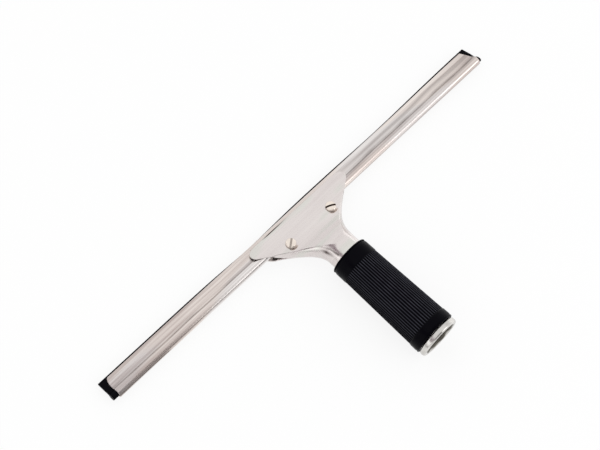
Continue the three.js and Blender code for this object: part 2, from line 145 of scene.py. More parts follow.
class SqueegeeBlade(bpy.types.PropertyGroup):
    """Sizes of the folded channel and of the rubber strip in it."""

    offset: length("Offset", "Channel's middle from the handle's middle", 5)
    sheet: length("Sheet", "Thickness of the channel's sheet", 0.7)
    bead: length("Bead radius", "Outside radius of the round back", 3.55)
    depth: length("Depth", "From the round back to the lips' edges", 15.4)
    crease: length("Crease radius", "Bend between the round back and a lip", 0.9)
    lip_half: length("Lip height", "Outside of a lip above the slot's middle", 1.9)
    lip_edge: length("Lip edge", "Rounding of the sheet's cut edges", 0.14)
    left_cut: length("Left cut length", "Corner cut off the lips on the left, along", 2.8)
    left_cut_depth: length("Left cut depth", "Corner cut off the lips on the left, across", 6.7)
    left_bulge: ratio("Left bulge", "1 for a rounded cut, 0 for a straight one", 1)
    right_cut: length("Right cut length", "Corner cut off the lips on the right, along", 5.7)
    right_cut_depth: length("Right cut depth", "Corner cut off the lips, across", 8)
    right_bulge: ratio("Right bulge", "1 for a rounded cut, 0 for a straight one", 0.1)
    right_foot: length("Right cut foot", "Length of that cut where it ends, at the bead", 1.4)
    fold_y: length("Fold line", "Middle of the dark line along the crease", 6.4)
    bow: length("Bow", "How far the channel's edges stray from straight lines", 0.7)
    waviness: length("Waviness", "Height of the slow waves in the folded sheet", 0.035)
    rubber: length("Rubber thickness", "Thickness of the wiping blade", 1.8)
    bulb: length("Bulb radius", "Radius of the strip's round back", 2.45)
    waist: length("Waist thickness", "Thin web behind the blade", 1.2)
    waist_length: length("Waist length", "Length of the thin web", 2.4)
    reach: length("Reach", "How far the rubber stands past the lips", 1.2)
    corner: length("Rubber corner", "Rounding of the wiping edge's corners", 0.1)
    slant: angle("Slant", "Angle that the right end is cut out of square", 12)


class SqueegeeHandle(bpy.types.PropertyGroup):
    """Sizes of the two pressed half shells."""

    sheet: length("Sheet", "Thickness of the shells' sheet", 1.2)
    half_width: length("Head half width", "Half of the head's width", 45.8)
    reach: length("Reach", "Channel's back to the front edge of the jaws", 11.4)
    tip: length("Tip radius", "Rounding of the head's front corners", 4.2)
    mouth_half: length("Mouth half width", "Where the flanks leave the back of the jaws", 36.9)
    mouth_y: length("Mouth", "Place of the mouth's corners along the handle", -1)
    flank_y: length("Wedge start", "Where the seam opens towards the mouth", -6.5)
    jaw_half: length("Jaw height", "Outside of a jaw over the channel's back", 5.05)
    lip_jaw_half: length("Jaw edge height", "Outside of a jaw at its front edge", 3.5)
    crest_y: length("Crest", "Where the jaws begin to slope to their edges", 4.3)
    crest_run: length("Slope", "Length of the jaws' slope", 6.2)
    lower_inset: length("Lower jaw inset", "Lower jaw's sides from the upper jaw's", 5)
    mouth_inset: length("Mouth inset", "The same at the mouth's corners", 2.6)
    lower_trim_y: length("Lower trim", "Where the lower jaw's sides meet the flanks", -9)
    seat_y: length("Seat", "The jaws are level ahead of this", -5)
    scoop_y: length("Scoop end", "Where the flats end in the round neck", -27.8)
    neck_y: length("Neck", "Place of the neck's start along the handle", -32)
    neck_radius: length("Neck radius", "Outside radius of the neck", 12)
    neck_height: length("Neck height", "Tube's axis above the channel's middle, at the neck", 9.4)
    pitch: angle("Pitch", "Fall of the tube towards its rear", 1.87)
    tube_start: length("Tube start", "The tube widens evenly from here", -37.2)
    tube_end: length("Tube end", "Rear end of the tube", -114)
    end_radius: length("End radius", "Tube's outside radius at its end", 13.75)
    flare: ratio("Flare", "Exponent of the flare's outline", 2.1)
    crown_rise: ratio("Crown rise", "Extra height of the flanks' arch at the mouth", 0.8)
    crown_power: ratio("Crown power", "How quickly that height fades towards the neck", 10)
    fold: length("Fold", "Softness of the fold between a flat and a flank", 1.1)
    edge: length("Edge", "Rounding of the sheet's cut edges", 0.3)
    seam: length("Seam", "Half of the joint between the shells", 0.07)


class SqueegeeFixings(bpy.types.PropertyGroup):
    """Sizes of the clamp screws and nuts."""

    spacing: length("Spacing", "Distance between the screws", 38.6)
    screw_y: length("Place", "Screws' place along the handle", -3.8)
    shank: length("Shank radius", "Outside radius of the thread", 2)
    pitch: length("Thread pitch", "Distance between two turns of the thread", 0.7)
    head: length("Head radius", "Radius of a screw's head", 3.6)
    head_height: length("Head height", "Height of a screw's head", 1.85)
    crown: length("Crown", "Dome on top of a head", 0.85)
    slot_width: length("Slot width", "Width of a screw's slot", 1.2)
    slot_depth: length("Slot depth", "Depth of a screw's slot", 1.2)
    left_turn: angle("Left slot", "Left slot's angle from the channel's direction", 36)
    right_turn: angle("Right slot", "Right slot's angle from the channel's direction", -27)
    across: length("Nut across flats", "Size of a nut's hexagon", 7)
    nut_height: length("Nut height", "Height of a nut's hexagon", 4.6)
    rivet: length("Rivet radius", "Radius of a nut's riveted end", 2.8)
    hole: length("Hole radius", "Radius of the screw holes", 2.3)
    rivet_hole: length("Rivet hole radius", "Radius of the nuts' holes", 3.0)


class SqueegeeGrip(bpy.types.PropertyGroup):
    """Sizes of the ribbed grip and of the socket's ferrule."""

    wall: length("Wall", "From the tube to the tops of the ribs", 2.1)
    band_lift: length("Band lift", "The end bands stand proud of the ribs by this", 0.298)
    front_band: length("Front band", "Length of the smooth front band", 10.5)
    rear_band: length("Rear band", "Length of the smooth rear band", 7)
    edge: length("Edge", "Rounding of the grip's ends", 1)
    rib_pitch: length("Rib pitch", "Distance between two ribs", 1.8)
    rib_depth: length("Rib depth", "Depth of the grooves", 0.7)
    rib_runout: length("Groove end", "Length over which a groove fades out", 1.4)
    sheet: length("Ferrule sheet", "Thickness of the ferrule's sheet", 1)
    sleeve: length("Sleeve", "Length of the ferrule's sleeve", 24)
    rim: length("Rim radius", "Outside radius of the rolled rim", 15.5)
    rim_length: length("Rim length", "Length of the rolled rim", 4.395)
    rim_corner: length("Rim corner", "Outside radius of the roll's outer corners", 1.5)
    rim_lead: length("Rim lead", "Radius of the roll's inner corner", 2.4)
    rim_gap: length("Rim slit", "Open slit where the rolled edge ends", 0.5)


class SqueegeeFinish(bpy.types.PropertyGroup):
    """Colours of the finishes."""

    plate: colour("Head steel", "Satin stainless steel of the head", 0.76, 0.71, 0.69)
    plate_dark: colour("Head steel, dark", "Its darker streaks", 0.63, 0.57, 0.56)
    channel: colour("Channel steel", "Stainless steel of the channel", 0.88, 0.85, 0.83)
    channel_dark: colour("Channel steel, dark", "Its darker streaks", 0.43, 0.37, 0.36)
    # Painted shade along the channel's crease, also used for the darker band on the right lips.
    crease_shade: colour("Tarnish", "Darker steel along the channel's crease", 0.25, 0.22, 0.21)
    warm: colour("Warm tint", "Slow warmer patches on the sheet", 1.0, 0.955, 0.92)
    cool: colour("Cool tint", "Slow greener patches on the head", 0.945, 0.995, 0.965)
    # Painted shade inside the pole socket, laid on by the ferrule's marks.
    bore: colour("Socket", "Dull inside of the pole socket", 0.06, 0.052, 0.034)
    screw: colour("Screw steel", "Warm bright plating", 0.88, 0.79, 0.71)
    # Painted shade: dark in the screws' slots, with some dirt there, under their heads, and on the
    # upper shell's marked places.
    shade_and_dirt: colour("Soil", "Dirt in the slots and under the heads", 0.05, 0.03, 0.025)
    nut: colour("Nut steel", "Dull zinc plating", 0.5, 0.48, 0.45)
    ferrule: colour("Ferrule steel", "Bright rolled steel", 0.70, 0.68, 0.65)
    rubber: colour("Rubber", "Black rubber", 0.0016, 0.0014, 0.003)
    # Greyer rubber on the rib tops: dust and wear, and a painted sheen on the upper side.
    dust_and_sheen: colour("Rubber, worn", "Greyer rubber on the tops of the ribs", 0.055, 0.055, 0.07)


# ---------------------------------------------------------------- places
def unit(values):
    """Vectors divided by their own lengths."""
    return values / np.maximum(np.linalg.norm(values, axis=-1, keepdims=True), 1e-12)


def clamp_frame():
    """Origin and axes of the clamp: X along the channel, Y to the wiping edge, Z along the screws.

    Y = 0 is the channel's back, X = 0 the middle of the handle and Z = 0 the middle of the slot,
    so the origin lies one blade depth behind the middle of the wiping edge.
    """
    blade = bpy.context.scene.squeegee_blade
    across = np.array([1.0, 0.0, 0.0])
    up = unit(np.array(JOINTS["left_screw_turn"]["axis"], float))
    ahead = np.cross(up, across)
    edge = np.array(MOUNTS["wiping_edge"]["pos_m"], float)
    origin = edge - (blade.depth + blade.reach) * ahead - blade.offset * across
    return origin, across, ahead, up


def tube_frame():
    """Origin and axes of the tube: its Y runs along the tube's axis, and its origin is the neck."""
    handle = bpy.context.scene.squeegee_handle
    origin, across, ahead, up = clamp_frame()
    turn = handle.pitch
    tube_ahead = math.cos(turn) * ahead + math.sin(turn) * up
    tube_up = math.cos(turn) * up - math.sin(turn) * ahead
    neck = origin + handle.neck_y * ahead + handle.neck_height * up
    return neck, across, tube_ahead, tube_up


def placed(points, place):
    """Points given in a frame, as points of the whole object: origin + x X + y Y + z Z."""
    origin, *axes = place
    return origin + points @ np.array(axes)


# ---------------------------------------------------------------- curves and grids
def smoothstep(value, low, high):
    """0 below low, 1 above high, and 3 t squared - 2 t cubed between them."""
    t = np.clip((value - low) / (high - low), 0, 1)
    return t * t * (3 - 2 * t)


def smooth_min(a, b, softness):
    """The smaller of two values, less softness/4 h squared, where h = 1 - |a - b| / softness."""
    h = np.clip(1 - np.abs(a - b) / softness, 0, None)
    return np.minimum(a, b) - softness * h * h / 4


def smooth_max(a, b, softness):
    """The larger of two values, rounded as smooth_min rounds the smaller."""
    return -smooth_min(-a, -b, softness)


def hump(value, middle, width):
    """A soft bump: e to the minus square of the distance from the middle over the width."""
    return np.exp(-((value - middle) / width) ** 2)


def waves(values, name):
    """A slow random wave along one direction: the mean of sines of its wavelengths."""
    lengths, seed = WAVES[name]
    phases = np.random.RandomState(seed).uniform(0, TURN, len(lengths))
    return sum(np.sin(TURN * values / l + p) for l, p in zip(lengths, phases)) / len(lengths)


def grid_faces(rows, columns, wrap_rows=False, wrap_columns=False):
    """Quads between neighbouring points of a grid, which may close on itself either way."""
    index = np.arange(rows * columns).reshape(rows, columns)
    if wrap_rows:
        index = np.concatenate([index, index[:1]])
    if wrap_columns:
        index = np.concatenate([index, index[:, :1]], axis=1)
    corners = (index[:-1, :-1], index[:-1, 1:], index[1:, 1:], index[1:, :-1])
    return np.stack(corners, axis=-1).reshape(-1, 4)


def bands(loops):
    """Quads between neighbouring closed loops of point indices."""
    return [np.stack([a, b, np.roll(b, -1), np.roll(a, -1)], axis=-1)
            for a, b in zip(loops, loops[1:])]


def perimeter(rows, columns):
    """Indices of a grid's outer points, once round."""
    index = np.arange(rows * columns).reshape(rows, columns)
    return np.concatenate([index[0], index[1:, -1], index[-1, -2::-1], index[-2:0:-1, 0]])


def grid_normals(grid):
    """Normals of a grid: the cross product of its steps along the columns and the rows."""
    along = np.gradient(grid, axis=0, edge_order=2)
    across = np.gradient(grid, axis=1, edge_order=2)
    return unit(np.cross(across, along))


def thick_sheet(outer, thickness, edge, flip, steps=6):
    """A sheet on a grid of outside points.

    The inside is the outside moved against its normals by the thickness. The two are joined all
    round by half ellipses, which stand out from the border by the edge's size.
    """
    rows, columns = outer.shape[:2]
    normals = grid_normals(outer) * (-1 if flip else 1)
    inner = outer - thickness * normals
    ring = perimeter(rows, columns)
    top, low = outer.reshape(-1, 3)[ring], inner.reshape(-1, 3)[ring]
    middle, half = (top + low) / 2, (top - low) / 2
    along = unit(np.roll(middle, -1, axis=0) - np.roll(middle, 1, axis=0))
    out = unit(np.cross(along, half))
    inward = np.mean(outer.reshape(-1, 3), axis=0)
    if np.mean(np.sum(out * (middle - inward), axis=1)) < 0:
        out = -out
    turns = np.linspace(0, math.pi, steps + 1)[1:-1]
    rings = [middle + half * math.cos(t) + edge * out * math.sin(t) for t in turns]
    points = np.concatenate([outer.reshape(-1, 3), inner.reshape(-1, 3), *rings])
    size, count = rows * columns, len(ring)
    loops = [ring, *(2 * size + count * i + np.arange(count) for i in range(len(rings)))]
    loops.append(size + ring)
    faces = [grid_faces(rows, columns), size + grid_faces(rows, columns)[:, ::-1], *bands(loops)]
    return points, np.concatenate(faces)


def sheet_outline(line, half, edge, inset=0.0, steps=4):
    """Closed outline of a bent sheet, drawn from its middle line.

    The line is set off by half the thickness to both sides, and quarter ellipses round its two
    ends. Point k and point -1 - k lie opposite each other, and inset draws all of them inwards.
    """
    along = unit(np.gradient(line, axis=0, edge_order=2))
    across = np.stack([-along[:, 1], along[:, 0]], axis=-1)
    turn = (np.arange(steps) + 0.5) / steps * math.pi / 2
    reach, half = (edge - inset) * np.cos(turn)[:, None], half - inset
    lift = half * np.sin(turn)[:, None]
    upper, lower = (
        np.concatenate([line[0] - along[0] * reach + way * across[0] * lift,
                        line + way * across * half,
                        line[-1] + along[-1] * reach[::-1] + way * across[-1] * lift[::-1]])
        for way in (1, -1))
    return np.concatenate([upper, lower[::-1]])


def arc(centre, radius, start, stop, steps):
    """Points of a circle about a centre, between two angles."""
    turn = np.linspace(start, stop, steps + 1)
    return np.array(centre) + radius * np.stack([np.cos(turn), np.sin(turn)], axis=-1)


def drawn_faces(rows, columns):
    """Quads of a drawn outline whose point k faces its point -1 - k, closed at both ends."""
    k = np.arange(columns // 2 - 1)
    end = np.stack([k, k + 1, columns - 2 - k, columns - 1 - k], axis=-1)
    return np.concatenate([grid_faces(rows, columns, wrap_columns=True), end,
                           (rows - 1) * columns + end])


def revolved(y, radius, turns):
    """Rings about the Y axis: a row of radii for each turn, over the same places y."""
    turn = turns[:, None]
    return np.stack([radius * np.sin(turn), np.broadcast_to(y, radius.shape),
                     radius * np.cos(turn)], axis=-1)


# ---------------------------------------------------------------- pieces
def linked(name, data):
    """A new object with this data, in the scene."""
    item = bpy.data.objects.new(name, data)
    bpy.context.scene.collection.objects.link(item)
    return item


def plain_mesh(name, points, faces, material=None):
    """A new object with a mesh made from lists, and a material if there is one."""
    mesh = bpy.data.meshes.new(name)
    mesh.from_pydata(points, [], faces)
    if material:
        mesh.materials.append(material)
    return linked(name, mesh)


def make_piece(name, points, faces, place, body, slot, nodes, material, crease=35, marks=None):
    """A closed mesh from arrays of points and quads, put in place of its CAD nodes.

    marks is a number for each point, which the material reads as painted shade, painted
    sheen, dirt and wear, as each piece gives them.
    """
    points = placed(points, place)
    mesh = bpy.data.meshes.new(name)
    mesh.vertices.add(len(points))
    mesh.vertices.foreach_set("co", points.astype(np.float32).ravel())
    mesh.loops.add(faces.size)
    mesh.loops.foreach_set("vertex_index", faces.astype(np.int32).ravel())
    mesh.polygons.add(len(faces))
    mesh.polygons.foreach_set("loop_start", np.arange(0, faces.size, 4, dtype=np.int32))
    mesh.update(calc_edges=True)
    if marks is not None:
        attribute = mesh.attributes.new("marks", "FLOAT", "POINT")
        attribute.data.foreach_set("value", marks.astype(np.float32))
    mesh.validate()
    shape = bmesh.new()
    shape.from_mesh(mesh)
    bmesh.ops.remove_doubles(shape, verts=shape.verts, dist=1e-7)
    bmesh.ops.recalc_face_normals(shape, faces=shape.faces)
    shape.to_mesh(mesh)
    shape.free()
    piece = linked(name, mesh)
    soften(mesh, crease)
    mesh.materials.append(material)
    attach(piece, body)
    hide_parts(*nodes)
    return piece


def soften(mesh, crease):
    """Smooth shading, with edges of more than crease degrees kept sharp."""
    mesh.shade_smooth()
    mesh.set_sharp_from_angle(angle=math.radians(crease))


def cut_holes(piece, centres, radius, low, high, place, crease=35):
    """Round holes through a piece, along Z of the given frame."""
    count = 96
    turn = np.linspace(0, TURN, count, endpoint=False)
    circle = np.stack([np.cos(turn), np.sin(turn)], axis=-1) * radius
    k, step = np.arange(count), np.roll(np.arange(count), -1)
    cutters = []
    for x, y in centres:
        ring = [np.column_stack([circle + (x, y), np.full(count, z)]) for z in (low, high)]
        points = np.concatenate(ring + [np.array([[x, y, low], [x, y, high]])])
        faces = [face.tolist() for corners in (
            (k, step, step + count, k + count), (step, k, np.full(count, 2 * count)),
            (k + count, step + count, np.full(count, 2 * count + 1)),
        ) for face in np.stack(corners, axis=-1)]
        cutter = plain_mesh("hole", placed(points, place).tolist(), faces)
        modifier = piece.modifiers.new("hole", "BOOLEAN")
        modifier.object = cutter
        modifier.operation = "DIFFERENCE"
        modifier.solver = "EXACT"
        cutters.append(cutter)
    bpy.context.view_layer.update()
    shown = piece.evaluated_get(bpy.context.evaluated_depsgraph_get())
    cut = bpy.data.meshes.new_from_object(shown)
    piece.modifiers.clear()
    old, piece.data = piece.data, cut
    bpy.data.meshes.remove(old)
    for cutter in cutters:
        bpy.data.objects.remove(cutter)
    soften(cut, crease)


# ---------------------------------------------------------------- channel and rubber
def bowed(blade, x, y):
    """Places across the channel, moved as a used channel's are, which isn't quite straight.

    The round back lies back on the left, and the lips' edges lie back except at the right end.
    """
    share = smoothstep(y, 0.0, blade.depth)
    to_left, right_end = smoothstep(-x, -0.06, 0.05), smoothstep(x, 0.095, 0.172)
    back = blade.bow * (0.25 - 0.5 * to_left)
    front = blade.bow * (1.15 * right_end - 1.15 - 0.25 * hump(x, -0.035, 0.03))
    return y + back * (1 - share) + front * share


def channel_line(blade):
    """Middle line of the folded sheet: a lip, a bend, the round back, a bend and a lip."""
    lip, back = blade.lip_half - blade.sheet / 2, blade.bead - blade.sheet / 2
    bend = blade.crease
    bend_y = blade.bead + math.sqrt((back + bend) ** 2 - (lip + bend) ** 2)
    meet = math.atan2(lip + bend, bend_y - blade.bead)
    flat = np.linspace(blade.depth - blade.lip_edge, bend_y, 22)[:-1]
    upper = np.concatenate([
        np.column_stack([flat, np.full(len(flat), lip)]),
        arc((bend_y, lip + bend), bend, 1.5 * math.pi, math.pi + meet, 10),
    ])
    lower = (upper * (1, -1))[::-1]
    return np.concatenate([upper, arc((blade.bead, 0), back, meet, TURN - meet, 56)[1:-1], lower])


def channel_ends(blade, y):
    """Left and right ends of the channel at a depth y, with the lips' corners cut back."""
    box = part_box("channel")
    origin = clamp_frame()[0]
    turn = np.linspace(0, 1, 40) * math.pi / 2
    straight, fade = np.linspace(0, 1, 40), 0.6 * MM
    ends = []
    for corner, way, cut, depth, bulge, foot in (
        (0, 1, blade.left_cut, blade.left_cut_depth, blade.left_bulge, 0.0),
        (1, -1, blade.right_cut, blade.right_cut_depth, blade.right_bulge, blade.right_foot),
    ):
        across = foot + (cut - foot) * (
            (1 - straight) * (1 - bulge) + bulge * (1 - np.sin(turn)))
        along = depth * (straight * (1 - bulge) + bulge * (1 - np.cos(turn)))
        places = (blade.depth - along)[::-1]
        back = np.interp(y, places, across[::-1]) * smoothstep(y, places[0] - fade, places[0])
        ends.append(box[corner][0] - origin[0] + way * back)
    return ends


def channel_surface(blade):
    """The folded channel: its outline drawn along X, with rounded ends and slow waves.

    A point's place along X runs between the two ends at its own depth, and the ends are rounded
    over edge. The lips and the top of the round back rise and fall by a few hundredths of a
    millimetre along the channel.
    """
    line, edge = channel_line(blade), 0.4 * MM
    quarter = np.linspace(0, math.pi / 2, 5)
    rings = [(0, t) for t in quarter[::-1]]
    rings += [(share, 0) for share in np.linspace(0, 1, 150)[1:-1]]
    rings += [(1, t) for t in quarter]
    points = []
    for share, turn in rings:
        outline = sheet_outline(line, blade.sheet / 2, blade.lip_edge,
                                0.85 * edge * (1 - math.cos(turn)))
        left, right = channel_ends(blade, outline[:, 0])
        if share in (0, 1):
            tuck = edge * (1 - math.sin(turn))
            x = right - tuck if share else left + tuck
        else:
            x = left + edge + share * (right - left - 2 * edge)
        rise = blade.waviness * (
            waves(x, "lip") * smoothstep(outline[:, 0], 0.0065, 0.0105)
            + 0.6 * waves(x, "bead") * smoothstep(-outline[:, 0], -0.0065, -0.002)
        )
        lift = rise * np.sign(outline[:, 1])
        points.append(np.column_stack([x, outline[:, 0], outline[:, 1] + lift]))
    points = np.array(points)
    x, y = points[..., 0], points[..., 1]
    marks = channel_marks(blade, x, y)
    points[..., 1] = bowed(blade, x, y)
    return points.reshape(-1, 3), drawn_faces(*marks.shape), marks.ravel()


def channel_marks(blade, x, y):
    """Marks on the channel: a wandering line of painted shade along the crease, and a darker band
    along the right lips.
    """
    to_right = smoothstep(x, -0.1, 0.12)
    crease = blade.fold_y + 0.7 * MM * waves(x, "crease place")
    amount = 0.5 + 0.1 * to_right + 0.18 * waves(x, "crease strength")
    lip_band = 10.9 * MM + 0.6 * MM * waves(x, "lip band")
    return amount * hump(y, crease, MM * (0.9 + 0.65 * to_right)) + 0.55 * smoothstep(
        x, 0.0, 0.1) * hump(y, lip_band, 1.6 * MM)


def rubber_surface(blade):
    """The rubber strip: a round bulb, a thin waist and the blade, drawn along X.

    What lies inside the channel is straight, with room to slide. The wiping edge follows the lips,
    and stands less far past them in two worn stretches.
    """
    bulb, waist, half, corner = blade.bulb, blade.waist / 2, blade.rubber / 2, blade.corner
    start = math.asin(waist / bulb)
    waist_y = blade.bead + bulb * math.cos(start) + blade.waist_length
    edge = blade.depth + blade.reach
    upper = np.concatenate([
        arc((blade.bead, 0), bulb, math.pi, start, 30)[:-1] + (0, 1e-6),
        [[blade.bead + bulb * math.cos(start), waist], [waist_y, waist], [waist_y + half, half]],
        np.column_stack([np.linspace(waist_y + half, edge - corner, 14)[1:-1],
                         np.full(12, half)]),
        arc((edge - corner, half - corner), corner, math.pi / 2, 0, 4),
        [[edge, half / 3]],
    ])
    outline = np.concatenate([upper, (upper * (1, -1))[::-1]])
    origin = clamp_frame()[0]
    low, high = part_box("rubber_blade")
    left = low[0] - origin[0]
    right = high[0] - origin[0] - math.tan(blade.slant) * outline[:, 0]
    share = np.linspace(0, 1, 120)[:, None]
    x = left + share * (right[None, :] - left)
    sway = 0.05 * MM * waves(x, "rubber") * smoothstep(outline[:, 0], blade.depth, edge)
    worn = 0.8 * hump(x, -0.04, 0.028) + 0.45 * hump(x, 0.08, 0.03)
    inside = outline[:, 0] - 0.05 * MM
    outside = smoothstep(outline[:, 0], blade.depth - 2.5 * MM, blade.depth - 0.5 * MM)
    y = inside + outside * (bowed(blade, x, outline[:, 0]) - inside)
    y = y - worn * blade.reach * smoothstep(outline[:, 0], blade.depth - 2 * MM, edge)
    points = np.stack([x, y, np.broadcast_to(outline[:, 1], x.shape) + sway], axis=-1)
    return points.reshape(-1, 3), drawn_faces(*x.shape)


# ---------------------------------------------------------------- half shells
def tube_radius(handle, y):
    """Outside radius of the tube: level over the neck, then even to the tube's end."""
    share = np.clip((handle.tube_start - y) / (handle.tube_start - handle.tube_end), 0, 1)
    return handle.neck_radius + share * (handle.end_radius - handle.neck_radius)


def middle_height(handle, y):
    """Height of the section's middle: level at the jaws, then a smooth step up to the tube."""
    rise = smoothstep(-y, -handle.flank_y, -handle.neck_y)
    return rise * (handle.neck_height + math.tan(handle.pitch) * (y - handle.neck_y))


def flared(handle, y):
    """0 at the mouth's corners and 1 at the neck."""
    return np.clip((handle.mouth_y - y) / (handle.mouth_y - handle.neck_y), 0, 1)


def half_width(handle, y):
    """Half of the section's width.

    Behind the mouth it is the tube's radius plus a power of the distance from the neck. Ahead of
    it a straight side runs at a tangent to the round tip.
    """
    behind = tube_radius(handle, y) + (
        handle.mouth_half - handle.neck_radius) * (1 - flared(handle, y)) ** handle.flare
    ahead, aside = handle.reach - handle.tip, handle.half_width - handle.tip
    run, rise = ahead - handle.mouth_y, aside - handle.mouth_half
    side = math.atan2(rise, run) + math.asin(handle.tip / math.hypot(run, rise))
    straight = handle.mouth_half + math.tan(side) * (y - handle.mouth_y)
    tip = aside + np.sqrt(np.maximum(handle.tip**2 - (y - ahead) ** 2, 0))
    front = np.where(y < ahead - handle.tip * math.sin(side), straight, tip)
    return np.where(y <= handle.mouth_y, behind, front)


def crown(handle, y):
    """Height of the flanks' arch, which is the tube's radius at the neck and more at the mouth."""
    return tube_radius(handle, y) * (
        1 + handle.crown_rise * (1 - flared(handle, y)) ** handle.crown_power)


def jaw_height(handle, y):
    """Height of a jaw's outside: level over the round back, then a slope down to the edge."""
    down = smooth_max((y - handle.crest_y) / handle.crest_run, 0.0, 0.3)
    down = smooth_min(down, 1.0, 0.3)
    return handle.jaw_half + (handle.lip_jaw_half - handle.jaw_half) * down


def flat_height(handle, y, side):
    """Height of the pressed flat.

    It is the jaw's, then t squared (3 - 2t) + t squared (t - 1) of the way to the tube's crest,
    and goes on past it, away from the tube.
    """
    jaw = side * jaw_height(handle, y)
    scoop = np.array(handle.scoop_y)
    tube = middle_height(handle, scoop) + side * tube_radius(handle, scoop)
    t = np.maximum((handle.seat_y - y) / (handle.seat_y - handle.scoop_y), 0)
    bend = np.where(t < 1, t * t * (3 - 2 * t) + t * t * (t - 1), 1)
    return jaw + (tube - jaw) * bend + side * np.abs(tube - jaw) * np.maximum(t - 1, 0)


def lower_trim(handle, y):
    """Half width that the lower jaw is trimmed to, with a round corner at its front."""
    back = half_width(handle, np.array(handle.lower_trim_y))
    inset = handle.lower_inset
    tip_y = handle.reach - handle.tip
    knots = (handle.lower_trim_y, handle.mouth_y, tip_y)
    widths = (float(back), handle.mouth_half - handle.mouth_inset, handle.half_width - inset)
    width = np.interp(y, knots, widths)
    corner = handle.half_width - inset - handle.tip
    rounded = corner + np.sqrt(np.maximum(handle.tip**2 - (y - tip_y) ** 2, 0))
    return np.where(y > tip_y, rounded, width)


def shell_surface(handle, fixings, side):
    """Outside of one half shell, for side 1 above the seam and -1 below it.

    A section is an arch, x = w sin a and z = c cos a, cut short by the pressed flat with a softened
    fold, which is sharper near the mouth. Its last angle follows the seam, then a wedge up to the
    jaw, then the jaw's side. Round each screw the upper flat is pressed level. The sheet is dished
    by a few hundredths of a millimetre.
    """
    tip_y = handle.reach - handle.tip
    y = np.concatenate([
        np.linspace(handle.tube_end, handle.tube_start, 16)[:-1],
        np.linspace(handle.tube_start, handle.mouth_y, 112)[:-1],
        np.linspace(handle.mouth_y, tip_y, 34)[:-1],
        tip_y + handle.tip * np.sin(np.linspace(0, math.pi / 2, 18)),
    ])
    width, arch, middle = half_width(handle, y), crown(handle, y), middle_height(handle, y)
    flat = side * (flat_height(handle, y, side) - middle)
    jaw = jaw_height(handle, y)
    inside = handle.jaw_half - handle.sheet
    wedge = np.clip((y - handle.flank_y) / (handle.mouth_y - handle.flank_y), 0, 1) * inside
    wedge = np.where(wedge > 0, wedge + handle.edge, 0) + handle.seam
    plate, side_drop = smoothstep(y, handle.mouth_y - 1.2 * MM, handle.mouth_y), 0.25 * MM
    border = wedge * (1 - plate) + (jaw - side_drop) * plate
    last = np.arccos(np.clip(border / arch, -1, 1))
    if side < 0:
        trim = np.arcsin(np.clip(lower_trim(handle, y) / width, -1, 1))
        last = np.where(y > handle.lower_trim_y, np.minimum(last, trim), last)
    share = np.linspace(-1, 1, 241)
    turn = share[None, :] * last[:, None]
    fold = handle.fold * (1 - 0.55 * smoothstep(y, -0.012, handle.mouth_y))
    height = smooth_min(arch[:, None] * np.cos(turn), flat[:, None], fold[:, None])
    x = width[:, None] * np.sin(turn)
    if side > 0:
        level = (handle.jaw_half - middle)[:, None]
        for way in (-1, 1):
            away = np.hypot(x - way * fixings.spacing / 2, y[:, None] - fixings.screw_y)
            seat = 1 - smoothstep(away, fixings.head + 0.15 * MM, fixings.head + 1.7 * MM)
            height = height + seat * (np.minimum(level, height) - height)
    dish = 0.02 * MM * waves(x, "plate across") * waves(y[:, None], "plate along")
    height = height + dish * smoothstep(width[:, None] - np.abs(x), 0.0, 4 * MM)
    return np.stack([x, np.broadcast_to(y[:, None], x.shape), middle[:, None] + side * height],
                    axis=-1)


def streak(points, line, width, amounts):
    """A soft stroke along a line of corners, fading as the distance grows past its width."""
    mark = np.zeros(len(points))
    for start, end, first, last in zip(line[:-1], line[1:], amounts[:-1], amounts[1:]):
        start, along = MM * np.array(start), MM * (np.array(end) - np.array(start))
        share = np.clip((points - start) @ along / (along @ along), 0, 1)
        away = np.linalg.norm(points - start - share[:, None] * along, axis=1)
        mark = np.maximum(mark, (first + (last - first) * share) * hump(away, 0, width * MM))
    return mark


def shell_marks(handle, points):
    """Painted shadow and shade on the upper shell, at its front edge and under its jaw, and
    painted reflections along its left neck.
    """
    x, y, z = points.T
    # Painted shadow: a dark line along the jaw's front edge, where it stands off the lips.
    front = smoothstep(x, *FRONT_SHADOW[:2]) * (1 - smoothstep(x, *FRONT_SHADOW[2:]))
    front = front * smoothstep(y, handle.reach - 0.2 * MM, handle.reach)
    side = half_width(handle, np.clip(y, handle.mouth_y, handle.reach))
    # Painted shade under the jaw's sides towards its front, where the jaw stands over the channel.
    under = smoothstep(jaw_height(handle, y) - z, 0.55 * MM, 0.85 * MM)
    under = under * smoothstep(np.abs(x), side - 5 * MM, side - 2 * MM)
    under = under * smoothstep(y, -4 * MM, -2 * MM)
    return np.max([front, under, *(streak(points, *neck) for neck in NECK_PAINTED_REFLECTIONS)], axis=0)


